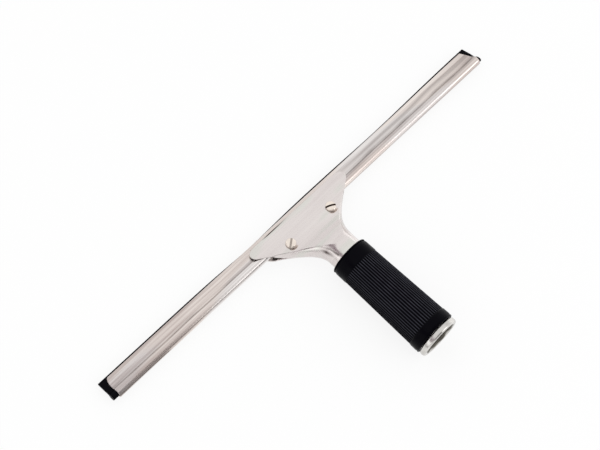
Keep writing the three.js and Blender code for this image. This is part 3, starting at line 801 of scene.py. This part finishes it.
# ---------------------------------------------------------------- screws and nuts
def screw_surface(handle, fixings, x, turn, shade_and_dirt):
    """A slotted screw along Z.

    The head's top is a field of heights over rows across a disc: a shallow dome, less the rounding
    of its edge, less the slot. The rim goes down to the seat, and the shank carries a thread whose
    radius falls and rises with z / pitch - angle / one turn. shade_and_dirt is how much painted
    shade, with some dirt, lies in the slot below its clean upper part, and a painted shadow lies
    under the head too.
    """
    radius, seat = fixings.head, handle.jaw_half + 0.03 * MM
    top = seat + fixings.head_height + 0.27 * MM
    half, bevel, corner = fixings.slot_width / 2, 0.07 * MM, 0.45 * MM
    walls = half + np.linspace(-bevel, bevel, 5)
    rows, chord = (np.sin(np.linspace(-math.pi / 2, math.pi / 2, count)) for count in (61, 45))
    v = np.sort(np.concatenate([radius * rows, walls, -walls]))[:, None]
    u = np.sqrt(np.maximum(radius**2 - v**2, 0)) * chord
    v = np.broadcast_to(v, u.shape)
    away = np.hypot(u, v)
    past = np.clip(away - radius + corner, 0, corner)
    dome = top - fixings.crown * (away / radius) ** 2 - (corner - np.sqrt(corner**2 - past**2))
    wall = smoothstep(np.abs(v), half - bevel, half + bevel)
    z = np.minimum((top - fixings.slot_depth) * (1 - wall) + dome * wall, dome)
    grid = np.stack([u, v, z], axis=-1)
    ring = perimeter(*u.shape)
    rim = grid.reshape(-1, 3)[ring]
    bearing = np.arctan2(rim[:, 1], rim[:, 0])
    spoke = np.stack([np.cos(bearing), np.sin(bearing)], axis=-1)
    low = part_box("clamp_screw_left")[0][2] + 0.02 * MM - clamp_frame()[0][2]
    low = max(low, -handle.jaw_half + 0.3 * MM)
    z_turns = np.linspace(seat, low + 0.4 * MM, 110)
    wave = np.abs(((z_turns[:, None] / fixings.pitch - bearing / TURN) % 1) * 2 - 1)
    thread = fixings.shank - 0.36 * MM * wave
    loops = [rim]
    for r, level in ((radius, seat + 0.25 * MM), (radius - 0.08 * MM, seat + 0.06 * MM),
                     (radius - 0.25 * MM, seat), (fixings.shank, seat)):
        loops.append(np.column_stack([spoke * r, np.minimum(level, rim[:, 2])]))
    ends = [(low, fixings.shank - 0.5 * MM), (low, 0)]
    for level, r in (*zip(z_turns[1:], thread[1:, :, None]), *ends):
        loops.append(np.column_stack([spoke * r, np.full(len(rim), level)]))
    points = np.concatenate([grid.reshape(-1, 3), *loops[1:]])
    count, size = len(ring), grid.shape[0] * grid.shape[1]
    chain = [ring, *(size + count * i + np.arange(count) for i in range(len(loops) - 1))]
    faces = [grid_faces(*u.shape), *bands(chain)]
    cos, sin = math.cos(turn), math.sin(turn)
    turned = points @ np.array([[cos, sin, 0], [-sin, cos, 0], [0, 0, 1]])
    # Painted shade in the slot, with some dirt, below its clean upper part.
    clean = 0.35 * MM
    slot = smoothstep(-np.abs(points[:, 1]), -half - bevel, -half + bevel)
    slot_shade = slot * smoothstep(-points[:, 2], clean - top, fixings.slot_depth - top)
    # Painted shadow round the foot of the head.
    foot = smoothstep(-points[:, 2], -seat - 0.45 * MM, -seat - 0.1 * MM)
    marks = np.maximum(shade_and_dirt * slot_shade, 0.85 * foot)
    return turned + (x, fixings.screw_y, 0), np.concatenate(faces), marks


def nut_surface(handle, fixings, x):
    """A hexagonal nut along Z, with chamfered corners, a riveted end and a countersunk bore.

    The hexagon's radius is half the size across flats over the cosine of the angle from the
    nearest flat, and a cone cuts its corners at the top.
    """
    steps = 72
    turn = np.linspace(0, TURN, steps, endpoint=False)
    half = fixings.across / 2
    hexagon = half / np.cos((turn % (TURN / 6)) - TURN / 12)
    floor = -handle.jaw_half + handle.sheet + 0.05 * MM
    top = floor + fixings.nut_height
    low = -handle.jaw_half + 0.12 * MM
    rivet, bore, bevel, cone = fixings.rivet, fixings.shank + 0.1 * MM, 0.1 * MM, 1.75
    rings = [(top - d, np.minimum(hexagon, half - bevel + d * cone))
             for d in (0, *np.linspace(0.06, 0.5, 6) * MM)]
    rings += [(floor + bevel, hexagon), (floor, hexagon - bevel)]
    rings += [(z, np.full(steps, r)) for z, r in (
        (floor, rivet), (low + 0.5 * MM, rivet), (low + 0.12 * MM, rivet + 0.12 * MM),
        (low, rivet + 0.02 * MM), (low, bore + 0.3 * MM), (low + 0.3 * MM, bore),
        (top - 0.4 * MM, bore), (top, bore + 0.4 * MM))]
    grid = np.array([np.column_stack([x + r * np.cos(turn), fixings.screw_y + r * np.sin(turn),
                                      np.full(steps, z)]) for z, r in rings])
    return grid.reshape(-1, 3), grid_faces(len(rings), steps, True, True)


# ---------------------------------------------------------------- grip and ferrule
def grip_surface(handle, grip):
    """The ribbed grip, turned about the tube's axis.

    Its radius is the tube's, plus the wall, plus the bands' lift, less the grooves. A groove is
    half a cosine wave between two crests, and its floor comes up in a quarter circle at its ends.
    """
    front, end = handle.tube_start - handle.neck_y, handle.tube_end - handle.neck_y
    level = tube_radius(handle, (front + end) / 2 + handle.neck_y) + grip.wall
    ribs = round(TURN * float(level) / grip.rib_pitch)
    steps_per_rib = 10
    turns = np.linspace(0, TURN, ribs * steps_per_rib, endpoint=False)
    rib_front, rib_end = front - grip.front_band, end + grip.rear_band
    edge = np.linspace(0, math.pi / 2, 7)
    step = np.linspace(0, 1, 6) * 0.5 * MM
    groove = grip.rib_runout * np.linspace(0, 1, 9)
    y = np.concatenate([
        front - grip.edge * (1 - np.sin(edge)),
        np.linspace(front - grip.edge, rib_front, 7)[1:-1],
        rib_front - step,
        rib_front - step[-1] - groove[1:],
        np.linspace(rib_front - step[-1] - groove[-1], rib_end + step[-1] + groove[-1], 30)[1:-1],
        rib_end + step[-1] + groove[::-1],
        rib_end + step[-2::-1],
        np.linspace(rib_end, end + grip.edge, 6)[1:-1],
        end + grip.edge * (1 - np.sin(edge[::-1])),
    ])
    rounding = np.clip(1 - np.minimum(front - y, y - end) / grip.edge, 0, 1)
    drop = grip.edge * (1 - np.sqrt(1 - rounding**2))
    band = smoothstep(y, rib_front - step[-1], rib_front) + smoothstep(
        -y, -rib_end - step[-1], -rib_end)
    inside = np.minimum(rib_front - step[-1] - y, y - rib_end - step[-1]) / grip.rib_runout
    inside = np.clip(inside, 0, 1)
    depth = grip.rib_depth * np.sqrt(1 - (1 - inside) ** 2)
    phase = (turns * ribs / TURN) % 1
    valley = smoothstep((0.5 + 0.5 * np.cos(TURN * phase)) ** 0.8, 0.06, 0.92)
    level = tube_radius(handle, y + handle.neck_y) + grip.wall
    radius = (level + grip.band_lift * band - drop)[None, :] - valley[:, None] * depth[None, :]
    bore_y = np.linspace(end, front, 12)
    bore = tube_radius(handle, bore_y + handle.neck_y) + 0.06 * MM
    outline = np.concatenate([y, bore_y])
    radius = np.concatenate([radius, np.broadcast_to(bore, (len(turns), len(bore)))], axis=1)
    grid = revolved(outline, radius, turns)
    crest = np.zeros(radius.shape)
    # Dust and wear on the rib crests, with a painted sheen that is strongest on the upper side,
    # where overhead light glints.
    worn = smoothstep(-valley, -0.13, 0.0) * (0.2 + 0.8 * smoothstep(np.cos(turns), -0.1, 0.6))
    crest[:, :len(y)] = worn[:, None] * (depth / grip.rib_depth)[None, :]
    return grid.reshape(-1, 3), grid_faces(*radius.shape, True, True), crest.ravel()


def ferrule_surface(handle, grip):
    """The socket's ferrule: a thick sheet's outline turned about the tube's axis.

    The sheet runs back along the sleeve, out over the rim, forward and in again. The rim carries
    slow dents of a few hundredths of a millimetre.
    """
    end, half = handle.tube_end - handle.neck_y, grip.sheet / 2
    mouth = end + grip.sleeve
    tube = tube_radius(handle, np.array([end, mouth]) + handle.neck_y)
    room, gap, front_land = 0.1 * MM, 0.3 * MM, 1.1 * MM
    inner, sleeve = (float(radius) - (handle.sheet + room + half) for radius in tube)
    rim_front = end - gap
    rim_rear = rim_front - grip.rim_length + half
    outer, bend, lead = grip.rim - half, grip.rim_corner - half, grip.rim_lead - half
    quarter = math.pi / 2
    line = np.concatenate([
        np.column_stack([np.linspace(mouth, end, 9), np.linspace(sleeve, inner, 9)])[:-1],
        [[end, inner], [end - front_land, inner]],
        arc((rim_rear + lead, inner + lead), lead, -quarter, -2 * quarter, 10),
        arc((rim_rear + bend, outer - bend), bend, 2 * quarter, quarter, 8),
        arc((rim_front - half - bend, outer - bend), bend, quarter, 0, 8),
        [[rim_front - half, inner + half + grip.rim_gap + gap]],
    ])
    outline = sheet_outline(line, half, 0.3 * MM)
    turns = np.linspace(0, TURN, 160, endpoint=False)
    dent = 0.03 * MM * (waves(turns, "rim") - 1)[:, None]
    dent = dent * smoothstep(-outline[:, 0], -end, -end + 2 * MM)
    grid = revolved(outline[:, 0], outline[:, 1] + dent, turns)
    # Painted shade inside the socket's bore, darker deeper in, with a ragged edge.
    away = np.hypot(grid[..., 0], grid[..., 2])
    ragged = inner + 0.5 * MM * waves(turns, "bore")[:, None]
    bore = smoothstep(-away, -ragged - 0.9 * MM, -ragged)
    marks = bore * (0.85 + 0.15 * smoothstep(grid[..., 1], end - 3 * MM, end + 4 * MM))
    return grid.reshape(-1, 3), grid_faces(*grid.shape[:2], True, True), marks.ravel()


# ---------------------------------------------------------------- finishes
class Nodes:
    """Short ways to add and join the nodes of one tree."""

    def __init__(self, tree):
        self.tree = tree
        tree.nodes.clear()

    def add(self, kind, inputs=None, **settings):
        """A node with its settings, and with its inputs set or joined."""
        node = self.tree.nodes.new(kind)
        for name, value in settings.items():
            setattr(node, name, value)
        self.fill(node, inputs or {})
        return node

    def fill(self, node, inputs):
        """Sets or joins a node's inputs."""
        for name, value in inputs.items():
            if isinstance(value, bpy.types.NodeSocket):
                self.tree.links.new(value, node.inputs[name])
            else:
                node.inputs[name].default_value = value

    def mix(self, factor, a, b, blend="MIX"):
        """A mix of two colours."""
        node = self.add("ShaderNodeMix", {0: factor, 6: a, 7: b}, data_type="RGBA",
                        blend_type=blend)
        return node.outputs[2]

    def noise(self, vector, scale, detail, roughness=0.5):
        """A noise texture's value."""
        node = self.add("ShaderNodeTexNoise", {"Vector": vector, "Scale": scale,
                                               "Detail": detail, "Roughness": roughness})
        return node.outputs[0]

    def stretch(self, vector, scale):
        """A vector multiplied by another."""
        node = self.add("ShaderNodeVectorMath", {0: vector, 1: scale}, operation="MULTIPLY")
        return node.outputs[0]

    def group(self, name, maker, inputs):
        """The sockets of a node group, which is made once and found again by name."""
        tree = bpy.data.node_groups.get(name) or maker()
        node = self.tree.nodes.new("ShaderNodeGroup")
        node.node_tree = tree
        self.fill(node, inputs)
        return node.outputs

    def results(self, node, values):
        """Values joined to a group's output sockets."""
        for name, value in values.items():
            self.tree.links.new(value, node.inputs[name])

    def math(self, operation, a, b=0.0, clamp=False):
        """One sum on two values."""
        node = self.add("ShaderNodeMath", {0: a, 1: b}, operation=operation, use_clamp=clamp)
        return node.outputs[0]

    def ramp(self, value, low, high, to_low=0.0, to_high=1.0):
        """A value stretched from one range to another, smoothly and within its ends."""
        node = self.add("ShaderNodeMapRange", {0: value, 1: low, 2: high, 3: to_low, 4: to_high},
                        interpolation_type="SMOOTHSTEP")
        return node.outputs[0]


def new_group(name, inputs, outputs):
    """A group with a vector input, these number sockets, and its input and output nodes."""
    group = bpy.data.node_groups.new(name, "ShaderNodeTree")
    group.interface.new_socket("Vector", in_out="INPUT", socket_type="NodeSocketVector")
    for label, default in inputs.items():
        socket = group.interface.new_socket(label, in_out="INPUT", socket_type="NodeSocketFloat")
        socket.default_value = default
    for label in outputs:
        group.interface.new_socket(label, in_out="OUTPUT", socket_type="NodeSocketFloat")
    nodes = Nodes(group)
    return nodes, nodes.add("NodeGroupInput").outputs, nodes.add("NodeGroupOutput")


def brushed_group():
    """Brushed sheet: long fine streaks, slower bands and blotches, and slow patches of tint."""
    nodes, given, result = new_group(
        "Brushed sheet", {"Streaks": 0.5, "Blotches": 0.5, "Patches": 0.5},
        ("Tone", "Tint", "Rough", "Height"))
    slow = nodes.stretch(given["Vector"], (0.6, 0.05, 0.05))
    fine = nodes.noise(given["Vector"], 1.0, 4.0, 0.6)
    wide = nodes.noise(nodes.stretch(given["Vector"], (0.45, 0.3, 0.3)), 1.0, 2.0)
    streaks = nodes.math("ADD", nodes.ramp(fine, 0.36, 0.64), nodes.ramp(wide, 0.38, 0.62))
    streaks = nodes.math("MULTIPLY", nodes.math("MULTIPLY", streaks, 0.5), given["Streaks"])
    spots = nodes.ramp(nodes.noise(slow, 1.0, 3.0, 0.6), 0.38, 0.66)
    spots = nodes.math("MULTIPLY", spots, given["Blotches"])
    sparse = nodes.math("SUBTRACT", 1.0, given["Patches"])
    nodes.results(result, {
        "Tone": nodes.math("ADD", streaks, spots, clamp=True),
        "Tint": nodes.ramp(nodes.noise(slow, 2.3, 1.0), sparse, nodes.math("ADD", sparse, 0.14)),
        "Rough": nodes.ramp(wide, 0.25, 0.75),
        "Height": fine,
    })
    return nodes.tree


def moulded_group():
    """Moulded rubber: a fine grain, and slow patches where the surface is more matt."""
    nodes, given, result = new_group(
        "Moulded rubber", {"Grain": 9000.0, "Patches": 160.0}, ("Matt", "Height"))
    patches = nodes.noise(given["Vector"], given["Patches"], 4.0)
    nodes.results(result, {"Matt": nodes.ramp(patches, 0.35, 0.7),
                           "Height": nodes.noise(given["Vector"], given["Grain"], 2.0)})
    return nodes.tree


def darker(tone, share):
    """A colour multiplied by a share."""
    return tuple(share * part for part in tone)


def new_material(name):
    """An empty material and its nodes."""
    material = bpy.data.materials.new(name)
    material.use_nodes = True
    return material, Nodes(material.node_tree)


def bumpy(nodes, base, metal, rough, height, bump, depth, gloss=0.5):
    """Ends a material with a Principled shader whose normal follows the height."""
    bump = nodes.add("ShaderNodeBump", {"Strength": bump, "Distance": depth, "Height": height})
    shader = nodes.add("ShaderNodeBsdfPrincipled", {
        "Base Color": base, "Metallic": metal, "Roughness": rough, "Specular IOR Level": gloss,
        "Normal": bump.outputs[0]})
    nodes.add("ShaderNodeOutputMaterial", {"Surface": shader.outputs[0]})


def steel(name, bright, dark, stretch, roughness, spread, bump, streaks, blotches,
          shade_and_dirt=None, tint=(1.0, 1.0, 1.0), patches=0.6):
    """A steel finish: streaks along the direction that is stretched least, in tone and gloss.

    Slow patches are multiplied by the tint. Where shade_and_dirt is a colour, the piece's marks
    lay it on, as painted shade and, in the screws' slots, dirt too.
    """
    material, nodes = new_material(name)
    place = nodes.add("ShaderNodeTexCoord").outputs["Object"]
    place = nodes.add("ShaderNodeMapping", {"Vector": place, "Scale": stretch}).outputs[0]
    brushed = nodes.group("Brushed sheet", brushed_group, {
        "Vector": place, "Streaks": streaks, "Blotches": blotches, "Patches": patches})
    base = nodes.mix(brushed["Tone"], (*bright, 1), (*dark, 1))
    base = nodes.mix(brushed["Tint"], base, (*tint, 1), "MULTIPLY")
    rough = nodes.ramp(brushed["Rough"], 0.0, 1.0, roughness - spread, roughness + spread)
    # Painted shade, with dirt in the screws' slots, laid on in the marks' colour and made rougher.
    if shade_and_dirt is not None:
        marks = nodes.add("ShaderNodeAttribute", attribute_name="marks").outputs["Fac"]
        base = nodes.mix(marks, base, (*shade_and_dirt, 1))
        rough = nodes.math("ADD", rough, nodes.math("MULTIPLY", marks, 0.3))
    bumpy(nodes, base, 1.0, rough, brushed["Height"], bump, 0.02 * MM)
    return material


def rubber(name, base, worn, roughness, spread, bump, gloss, sheen_and_wear_share=0.0):
    """A black rubber finish: moulded grain and matt patches, and greyer where the marks say,
    which is dust and wear with a painted sheen.
    """
    material, nodes = new_material(name)
    place = nodes.add("ShaderNodeTexCoord").outputs["Object"]
    moulded = nodes.group("Moulded rubber", moulded_group, {"Vector": place})
    marks = nodes.add("ShaderNodeAttribute", attribute_name="marks").outputs["Fac"]
    patchy = nodes.ramp(moulded["Matt"], 0.0, 1.0, 0.7, 1.0)
    tone = nodes.math("MULTIPLY", nodes.math("MULTIPLY", marks, patchy), sheen_and_wear_share)
    tint = nodes.mix(tone, (*base, 1), (*worn, 1))
    rough = nodes.ramp(moulded["Matt"], 0.0, 1.0, roughness - spread, roughness + spread)
    bumpy(nodes, tint, 0.0, rough, moulded["Height"], bump, 0.03 * MM, gloss)
    return material


# ---------------------------------------------------------------- operators
SIDES = ((-1, "left"), (1, "right"))


def settings(context, *names):
    """The settings groups of these names: blade, handle, fixings, grip or finish."""
    return [getattr(context.scene, f"squeegee_{name}") for name in names]


class SQUEEGEE_OT_channel(bpy.types.Operator):
    """Make the folded channel that holds the rubber"""

    bl_idname = "squeegee.channel"
    bl_label = "Channel"

    def execute(self, context):
        finish, blade = settings(context, "finish", "blade")
        skin = steel("channel_steel", finish.channel, finish.channel_dark,
                     stretch=(11, 900, 900), roughness=0.25, spread=0.09, bump=0.35,
                     streaks=0.7, blotches=0.3, shade_and_dirt=finish.crease_shade, tint=finish.warm)
        points, faces, marks = channel_surface(blade)
        make_piece("channel_fold", points, faces, clamp_frame(), "channel", "channel_steel",
                   ["channel"], skin, 35, marks)
        return {"FINISHED"}


class SQUEEGEE_OT_strip(bpy.types.Operator):
    """Make the rubber strip"""

    bl_idname = "squeegee.strip"
    bl_label = "Rubber strip"

    def execute(self, context):
        finish, blade = settings(context, "finish", "blade")
        skin = rubber("strip_rubber", finish.rubber, finish.dust_and_sheen,
                      roughness=0.42, spread=0.08, bump=0.15, gloss=0.05)
        make_piece("wiping_rubber", *rubber_surface(blade), clamp_frame(), "strip",
                   "strip_rubber", ["rubber_blade"], skin, 50)
        return {"FINISHED"}


class SQUEEGEE_OT_shells(bpy.types.Operator):
    """Make the two pressed half shells of the handle"""

    bl_idname = "squeegee.shells"
    bl_label = "Half shells"

    def execute(self, context):
        handle, fixings, finish = settings(context, "handle", "fixings", "finish")
        skin = steel("shell_steel", finish.plate, finish.plate_dark,
                     stretch=(22, 900, 900), roughness=0.24, spread=0.05, bump=0.12,
                     streaks=0.4, blotches=0.3, shade_and_dirt=finish.shade_and_dirt, tint=finish.cool, patches=0.48)
        place = clamp_frame()
        centres = [(way * fixings.spacing / 2, fixings.screw_y) for way, _ in SIDES]
        for side, name, node, radius in (
            (1, "upper_pressing", "upper_shell", fixings.hole),
            (-1, "lower_pressing", "lower_shell", fixings.rivet_hole),
        ):
            outside = shell_surface(handle, fixings, side)
            sheet = thick_sheet(outside, handle.sheet, handle.edge, side < 0)
            # Marks of painted shadow, shade and reflections, on the upper shell only.
            marks = shell_marks(handle, sheet[0]) * (side > 0)
            piece = make_piece(name, *sheet, place, "handle", "shell_steel", [node], skin,
                               marks=marks)
            cut_holes(piece, centres, radius, *sorted((side * 2 * MM, side * 8 * MM)), place)
        return {"FINISHED"}


class SQUEEGEE_OT_screws(bpy.types.Operator):
    """Make the two slotted clamp screws"""

    bl_idname = "squeegee.screws"
    bl_label = "Clamp screws"

    def execute(self, context):
        handle, fixings, finish = settings(context, "handle", "fixings", "finish")
        skin = steel("screw_steel", finish.screw, darker(finish.screw, 0.8),
                     stretch=(250, 250, 250), roughness=0.2, spread=0.05, bump=0.05,
                     streaks=0.2, blotches=0.3, shade_and_dirt=finish.shade_and_dirt)
        # Amounts of painted shade and dirt in the left and right slots.
        for (way, side), shade_and_dirt in zip(SIDES, (0.55, 1.0)):
            turn = getattr(fixings, f"{side}_turn")
            points, faces, marks = screw_surface(
                handle, fixings, way * fixings.spacing / 2, turn, shade_and_dirt)
            make_piece(f"slotted_screw_{side}", points, faces, clamp_frame(), f"{side}_screw",
                       "screw_steel", [f"clamp_screw_{side}"], skin, 32, marks)
        return {"FINISHED"}


class SQUEEGEE_OT_nuts(bpy.types.Operator):
    """Make the two nuts riveted into the lower shell"""

    bl_idname = "squeegee.nuts"
    bl_label = "Clinch nuts"

    def execute(self, context):
        handle, fixings, finish = settings(context, "handle", "fixings", "finish")
        skin = steel("nut_steel", finish.nut, darker(finish.nut, 0.75),
                     stretch=(700, 700, 700), roughness=0.42, spread=0.08, bump=0.2,
                     streaks=0.4, blotches=0.6)
        for way, side in SIDES:
            surface = nut_surface(handle, fixings, way * fixings.spacing / 2)
            make_piece(f"hexagon_nut_{side}", *surface, clamp_frame(), "handle", "nut_steel",
                       [f"clinch_nut_{side}"], skin, 25)
        return {"FINISHED"}


class SQUEEGEE_OT_grip(bpy.types.Operator):
    """Make the ribbed rubber grip"""

    bl_idname = "squeegee.grip"
    bl_label = "Grip"

    def execute(self, context):
        handle, grip, finish = settings(context, "handle", "grip", "finish")
        skin = rubber("grip_rubber", finish.rubber, finish.dust_and_sheen,
                      roughness=0.36, spread=0.08, bump=0.2, gloss=0.035, sheen_and_wear_share=0.95)
        points, faces, marks = grip_surface(handle, grip)
        make_piece("ribbed_grip", points, faces, tube_frame(), "handle", "grip_rubber",
                   ["rubber_grip"], skin, 60, marks)
        return {"FINISHED"}


class SQUEEGEE_OT_ferrule(bpy.types.Operator):
    """Make the rolled ferrule of the pole socket"""

    bl_idname = "squeegee.ferrule"
    bl_label = "Ferrule"

    def execute(self, context):
        handle, grip, finish = settings(context, "handle", "grip", "finish")
        skin = steel("ferrule_steel", finish.ferrule, darker(finish.ferrule, 0.7),
                     stretch=(250, 500, 250), roughness=0.28, spread=0.07, bump=0.2,
                     streaks=0.5, blotches=0.4, shade_and_dirt=finish.bore)
        points, faces, marks = ferrule_surface(handle, grip)
        make_piece("rolled_ferrule", points, faces, tube_frame(), "handle", "ferrule_steel",
                   ["socket_ferrule"], skin, 35, marks)
        return {"FINISHED"}


class SQUEEGEE_OT_stage(bpy.types.Operator):
    """Make the floor, the lights and the camera"""

    bl_idname = "squeegee.stage"
    bl_label = "Stage"

    def execute(self, context):
        context.scene.view_settings.view_transform = "Standard"
        make_world(context.scene)
        make_floor()
        make_lamp()
        make_cards()
        make_camera(context.scene)
        return {"FINISHED"}


def direction(bearing, elevation):
    """Unit vectors towards bearings, turned from X towards Y, and elevations, both in radians."""
    flat = np.cos(elevation)
    parts = flat * np.cos(bearing), flat * np.sin(bearing), np.sin(elevation)
    return np.stack(np.broadcast_arrays(*parts), axis=-1)


def whitened(nodes, lit, white, share, output):
    """Ends a tree with a lit shader, which turns white where camera, gloss or glass sees it."""
    path = nodes.add("ShaderNodeLightPath").outputs
    seen = nodes.math("MAXIMUM", path["Is Camera Ray"], path["Is Glossy Ray"])
    seen = nodes.math("MAXIMUM", seen, path["Is Transmission Ray"])
    seen = nodes.math("MULTIPLY", seen, share)
    mixed = nodes.add("ShaderNodeMixShader", {0: seen, 1: lit.outputs[0], 2: white.outputs[0]})
    nodes.add(output, {"Surface": mixed.outputs[0]})


def make_world(scene):
    """A pale sky: plain light on the object, and white where it is seen or mirrored."""
    world = bpy.data.worlds.new("studio")
    world.use_nodes = True
    scene.world = world
    nodes = Nodes(world.node_tree)
    light, white = (
        nodes.add("ShaderNodeBackground", {"Color": (1, 1, 1, 1), "Strength": strength})
        for strength in (SKY_LIGHT, 1.0))
    whitened(nodes, light, white, 1.0, "ShaderNodeOutputWorld")


def make_floor():
    """A wide white floor that the tool lies on."""
    material, nodes = new_material("white_floor")
    matt = nodes.add("ShaderNodeBsdfDiffuse", {"Color": (*[FLOOR_TONE] * 3, 1)})
    white = nodes.add("ShaderNodeEmission", {"Color": (1, 1, 1, 1), "Strength": 1.0})
    whitened(nodes, matt, white, FLOOR_GLOW, "ShaderNodeOutputMaterial")
    corners = [(FLOOR_HALF * x, FLOOR_HALF * y, 0) for x, y in ((-1, -1), (1, -1), (1, 1), (-1, 1))]
    plain_mesh("floor", corners, [(0, 1, 2, 3)], material)


def make_lamp():
    """One soft box, behind the handle and above it, that faces the tool."""
    way = Vector(direction(*np.radians([LAMP["bearing"], LAMP["elevation"]])))
    lamp = bpy.data.lights.new("soft_box", "AREA")
    lamp.shape = "RECTANGLE"
    lamp.size, lamp.size_y = LAMP["size"]
    lamp.energy = LAMP["energy"]
    light = linked("soft_box", lamp)
    light.location = Vector(placed(np.array(STAGE_AIM), clamp_frame())) + LAMP["distance"] * way
    light.rotation_euler = (-way).to_track_quat("-Z", "Y").to_euler()


def make_card(name, grid, tone):
    """A glowing sheet on a grid of points, which only glossy surfaces mirror."""
    material, nodes = new_material(name)
    glow = nodes.add("ShaderNodeEmission", {"Color": (*tone, 1), "Strength": 1.0})
    nodes.add("ShaderNodeOutputMaterial", {"Surface": glow.outputs[0]})
    faces = grid_faces(*grid.shape[:2]).tolist()
    card = plain_mesh(name, grid.reshape(-1, 3).tolist(), faces, material)
    for kind in ("camera", "diffuse", "shadow", "transmission"):
        setattr(card, f"visible_{kind}", False)


def make_cards():
    """Cards that lie on the floor, and cards that are patches of a sphere about the tool."""
    for name, sides, backs, tone in FLOOR_CARDS:
        x, y = np.meshgrid(np.linspace(*sides, 3), np.linspace(*backs, 3))
        make_card(name, np.stack([x, y, 0 * x + FLOOR_CARD_HEIGHT], axis=-1), tone)
    aim = placed(np.array(STAGE_AIM), clamp_frame())
    for name, bearings, elevations, distance, tone in ROUND_CARDS:
        bearing, elevation = np.meshgrid(np.radians(np.linspace(*bearings, 13)),
                                         np.radians(np.linspace(*elevations, 9)))
        grid = aim + distance * direction(bearing, elevation)
        grid[..., 2] = np.maximum(grid[..., 2], ROUND_CARD_LOWEST)
        make_card(name, grid, tone)


def make_camera(scene):
    """A camera that looks down on the head from the left and from behind the handle."""
    azimuth, elevation, roll = (math.radians(CAMERA[a]) for a in ("azimuth", "elevation", "roll"))
    back = direction(azimuth, elevation)
    right = unit(np.cross(-back, [0, 0, 1]))
    up = np.cross(right, -back)
    up, right = (math.cos(roll) * up + math.sin(roll) * right,
                 math.cos(roll) * right - math.sin(roll) * up)
    place = clamp_frame()
    lens = bpy.data.cameras.new("camera")
    lens.sensor_width, lens.lens = CAMERA["sensor"], CAMERA["lens"]
    lens.clip_start, lens.clip_end = CAMERA["clip"]
    camera = linked("camera", lens)
    matrix = Matrix((np.array([right, up, back]) @ np.array(place[1:])).T.tolist()).to_4x4()
    eye = np.array(CAMERA["aim"]) + CAMERA["distance"] * back
    matrix.translation = Vector(placed(eye, place))
    camera.matrix_world = matrix
    scene.camera = camera


class SQUEEGEE_PT_panel(bpy.types.Panel):
    """Buttons for the pieces, and their sizes and colours"""

    bl_idname = "SQUEEGEE_PT_panel"
    bl_label = "Squeegee"
    bl_space_type = "VIEW_3D"
    bl_region_type = "UI"
    bl_category = "Squeegee"

    def draw(self, context):
        for operator in OPERATORS:
            self.layout.operator(operator.bl_idname)
        for name in SETTINGS:
            group = getattr(context.scene, name)
            box = self.layout.box()
            for key in group.bl_rna.properties.keys():
                if key not in ("name", "rna_type"):
                    box.prop(group, key)


OPERATORS = (
    SQUEEGEE_OT_channel,
    SQUEEGEE_OT_strip,
    SQUEEGEE_OT_shells,
    SQUEEGEE_OT_screws,
    SQUEEGEE_OT_nuts,
    SQUEEGEE_OT_grip,
    SQUEEGEE_OT_ferrule,
    SQUEEGEE_OT_stage,
)
SETTINGS = {
    "squeegee_blade": SqueegeeBlade,
    "squeegee_handle": SqueegeeHandle,
    "squeegee_fixings": SqueegeeFixings,
    "squeegee_grip": SqueegeeGrip,
    "squeegee_finish": SqueegeeFinish,
}


def register():
    """Registers the classes and hangs the settings on the scene."""
    for item in (*SETTINGS.values(), *OPERATORS, SQUEEGEE_PT_panel):
        bpy.utils.register_class(item)
    for name, group in SETTINGS.items():
        setattr(bpy.types.Scene, name, PointerProperty(type=group))


def unregister():
    """Takes the settings and the classes away again."""
    for name in SETTINGS:
        delattr(bpy.types.Scene, name)
    for item in (SQUEEGEE_PT_panel, *reversed(OPERATORS), *reversed(SETTINGS.values())):
        bpy.utils.unregister_class(item)


def main():
    """Makes the whole tool and its stage."""
    register()
    for operator in OPERATORS:
        group, name = operator.bl_idname.split(".")
        getattr(getattr(bpy.ops, group), name)()


if __name__ == "__main__":
    main()
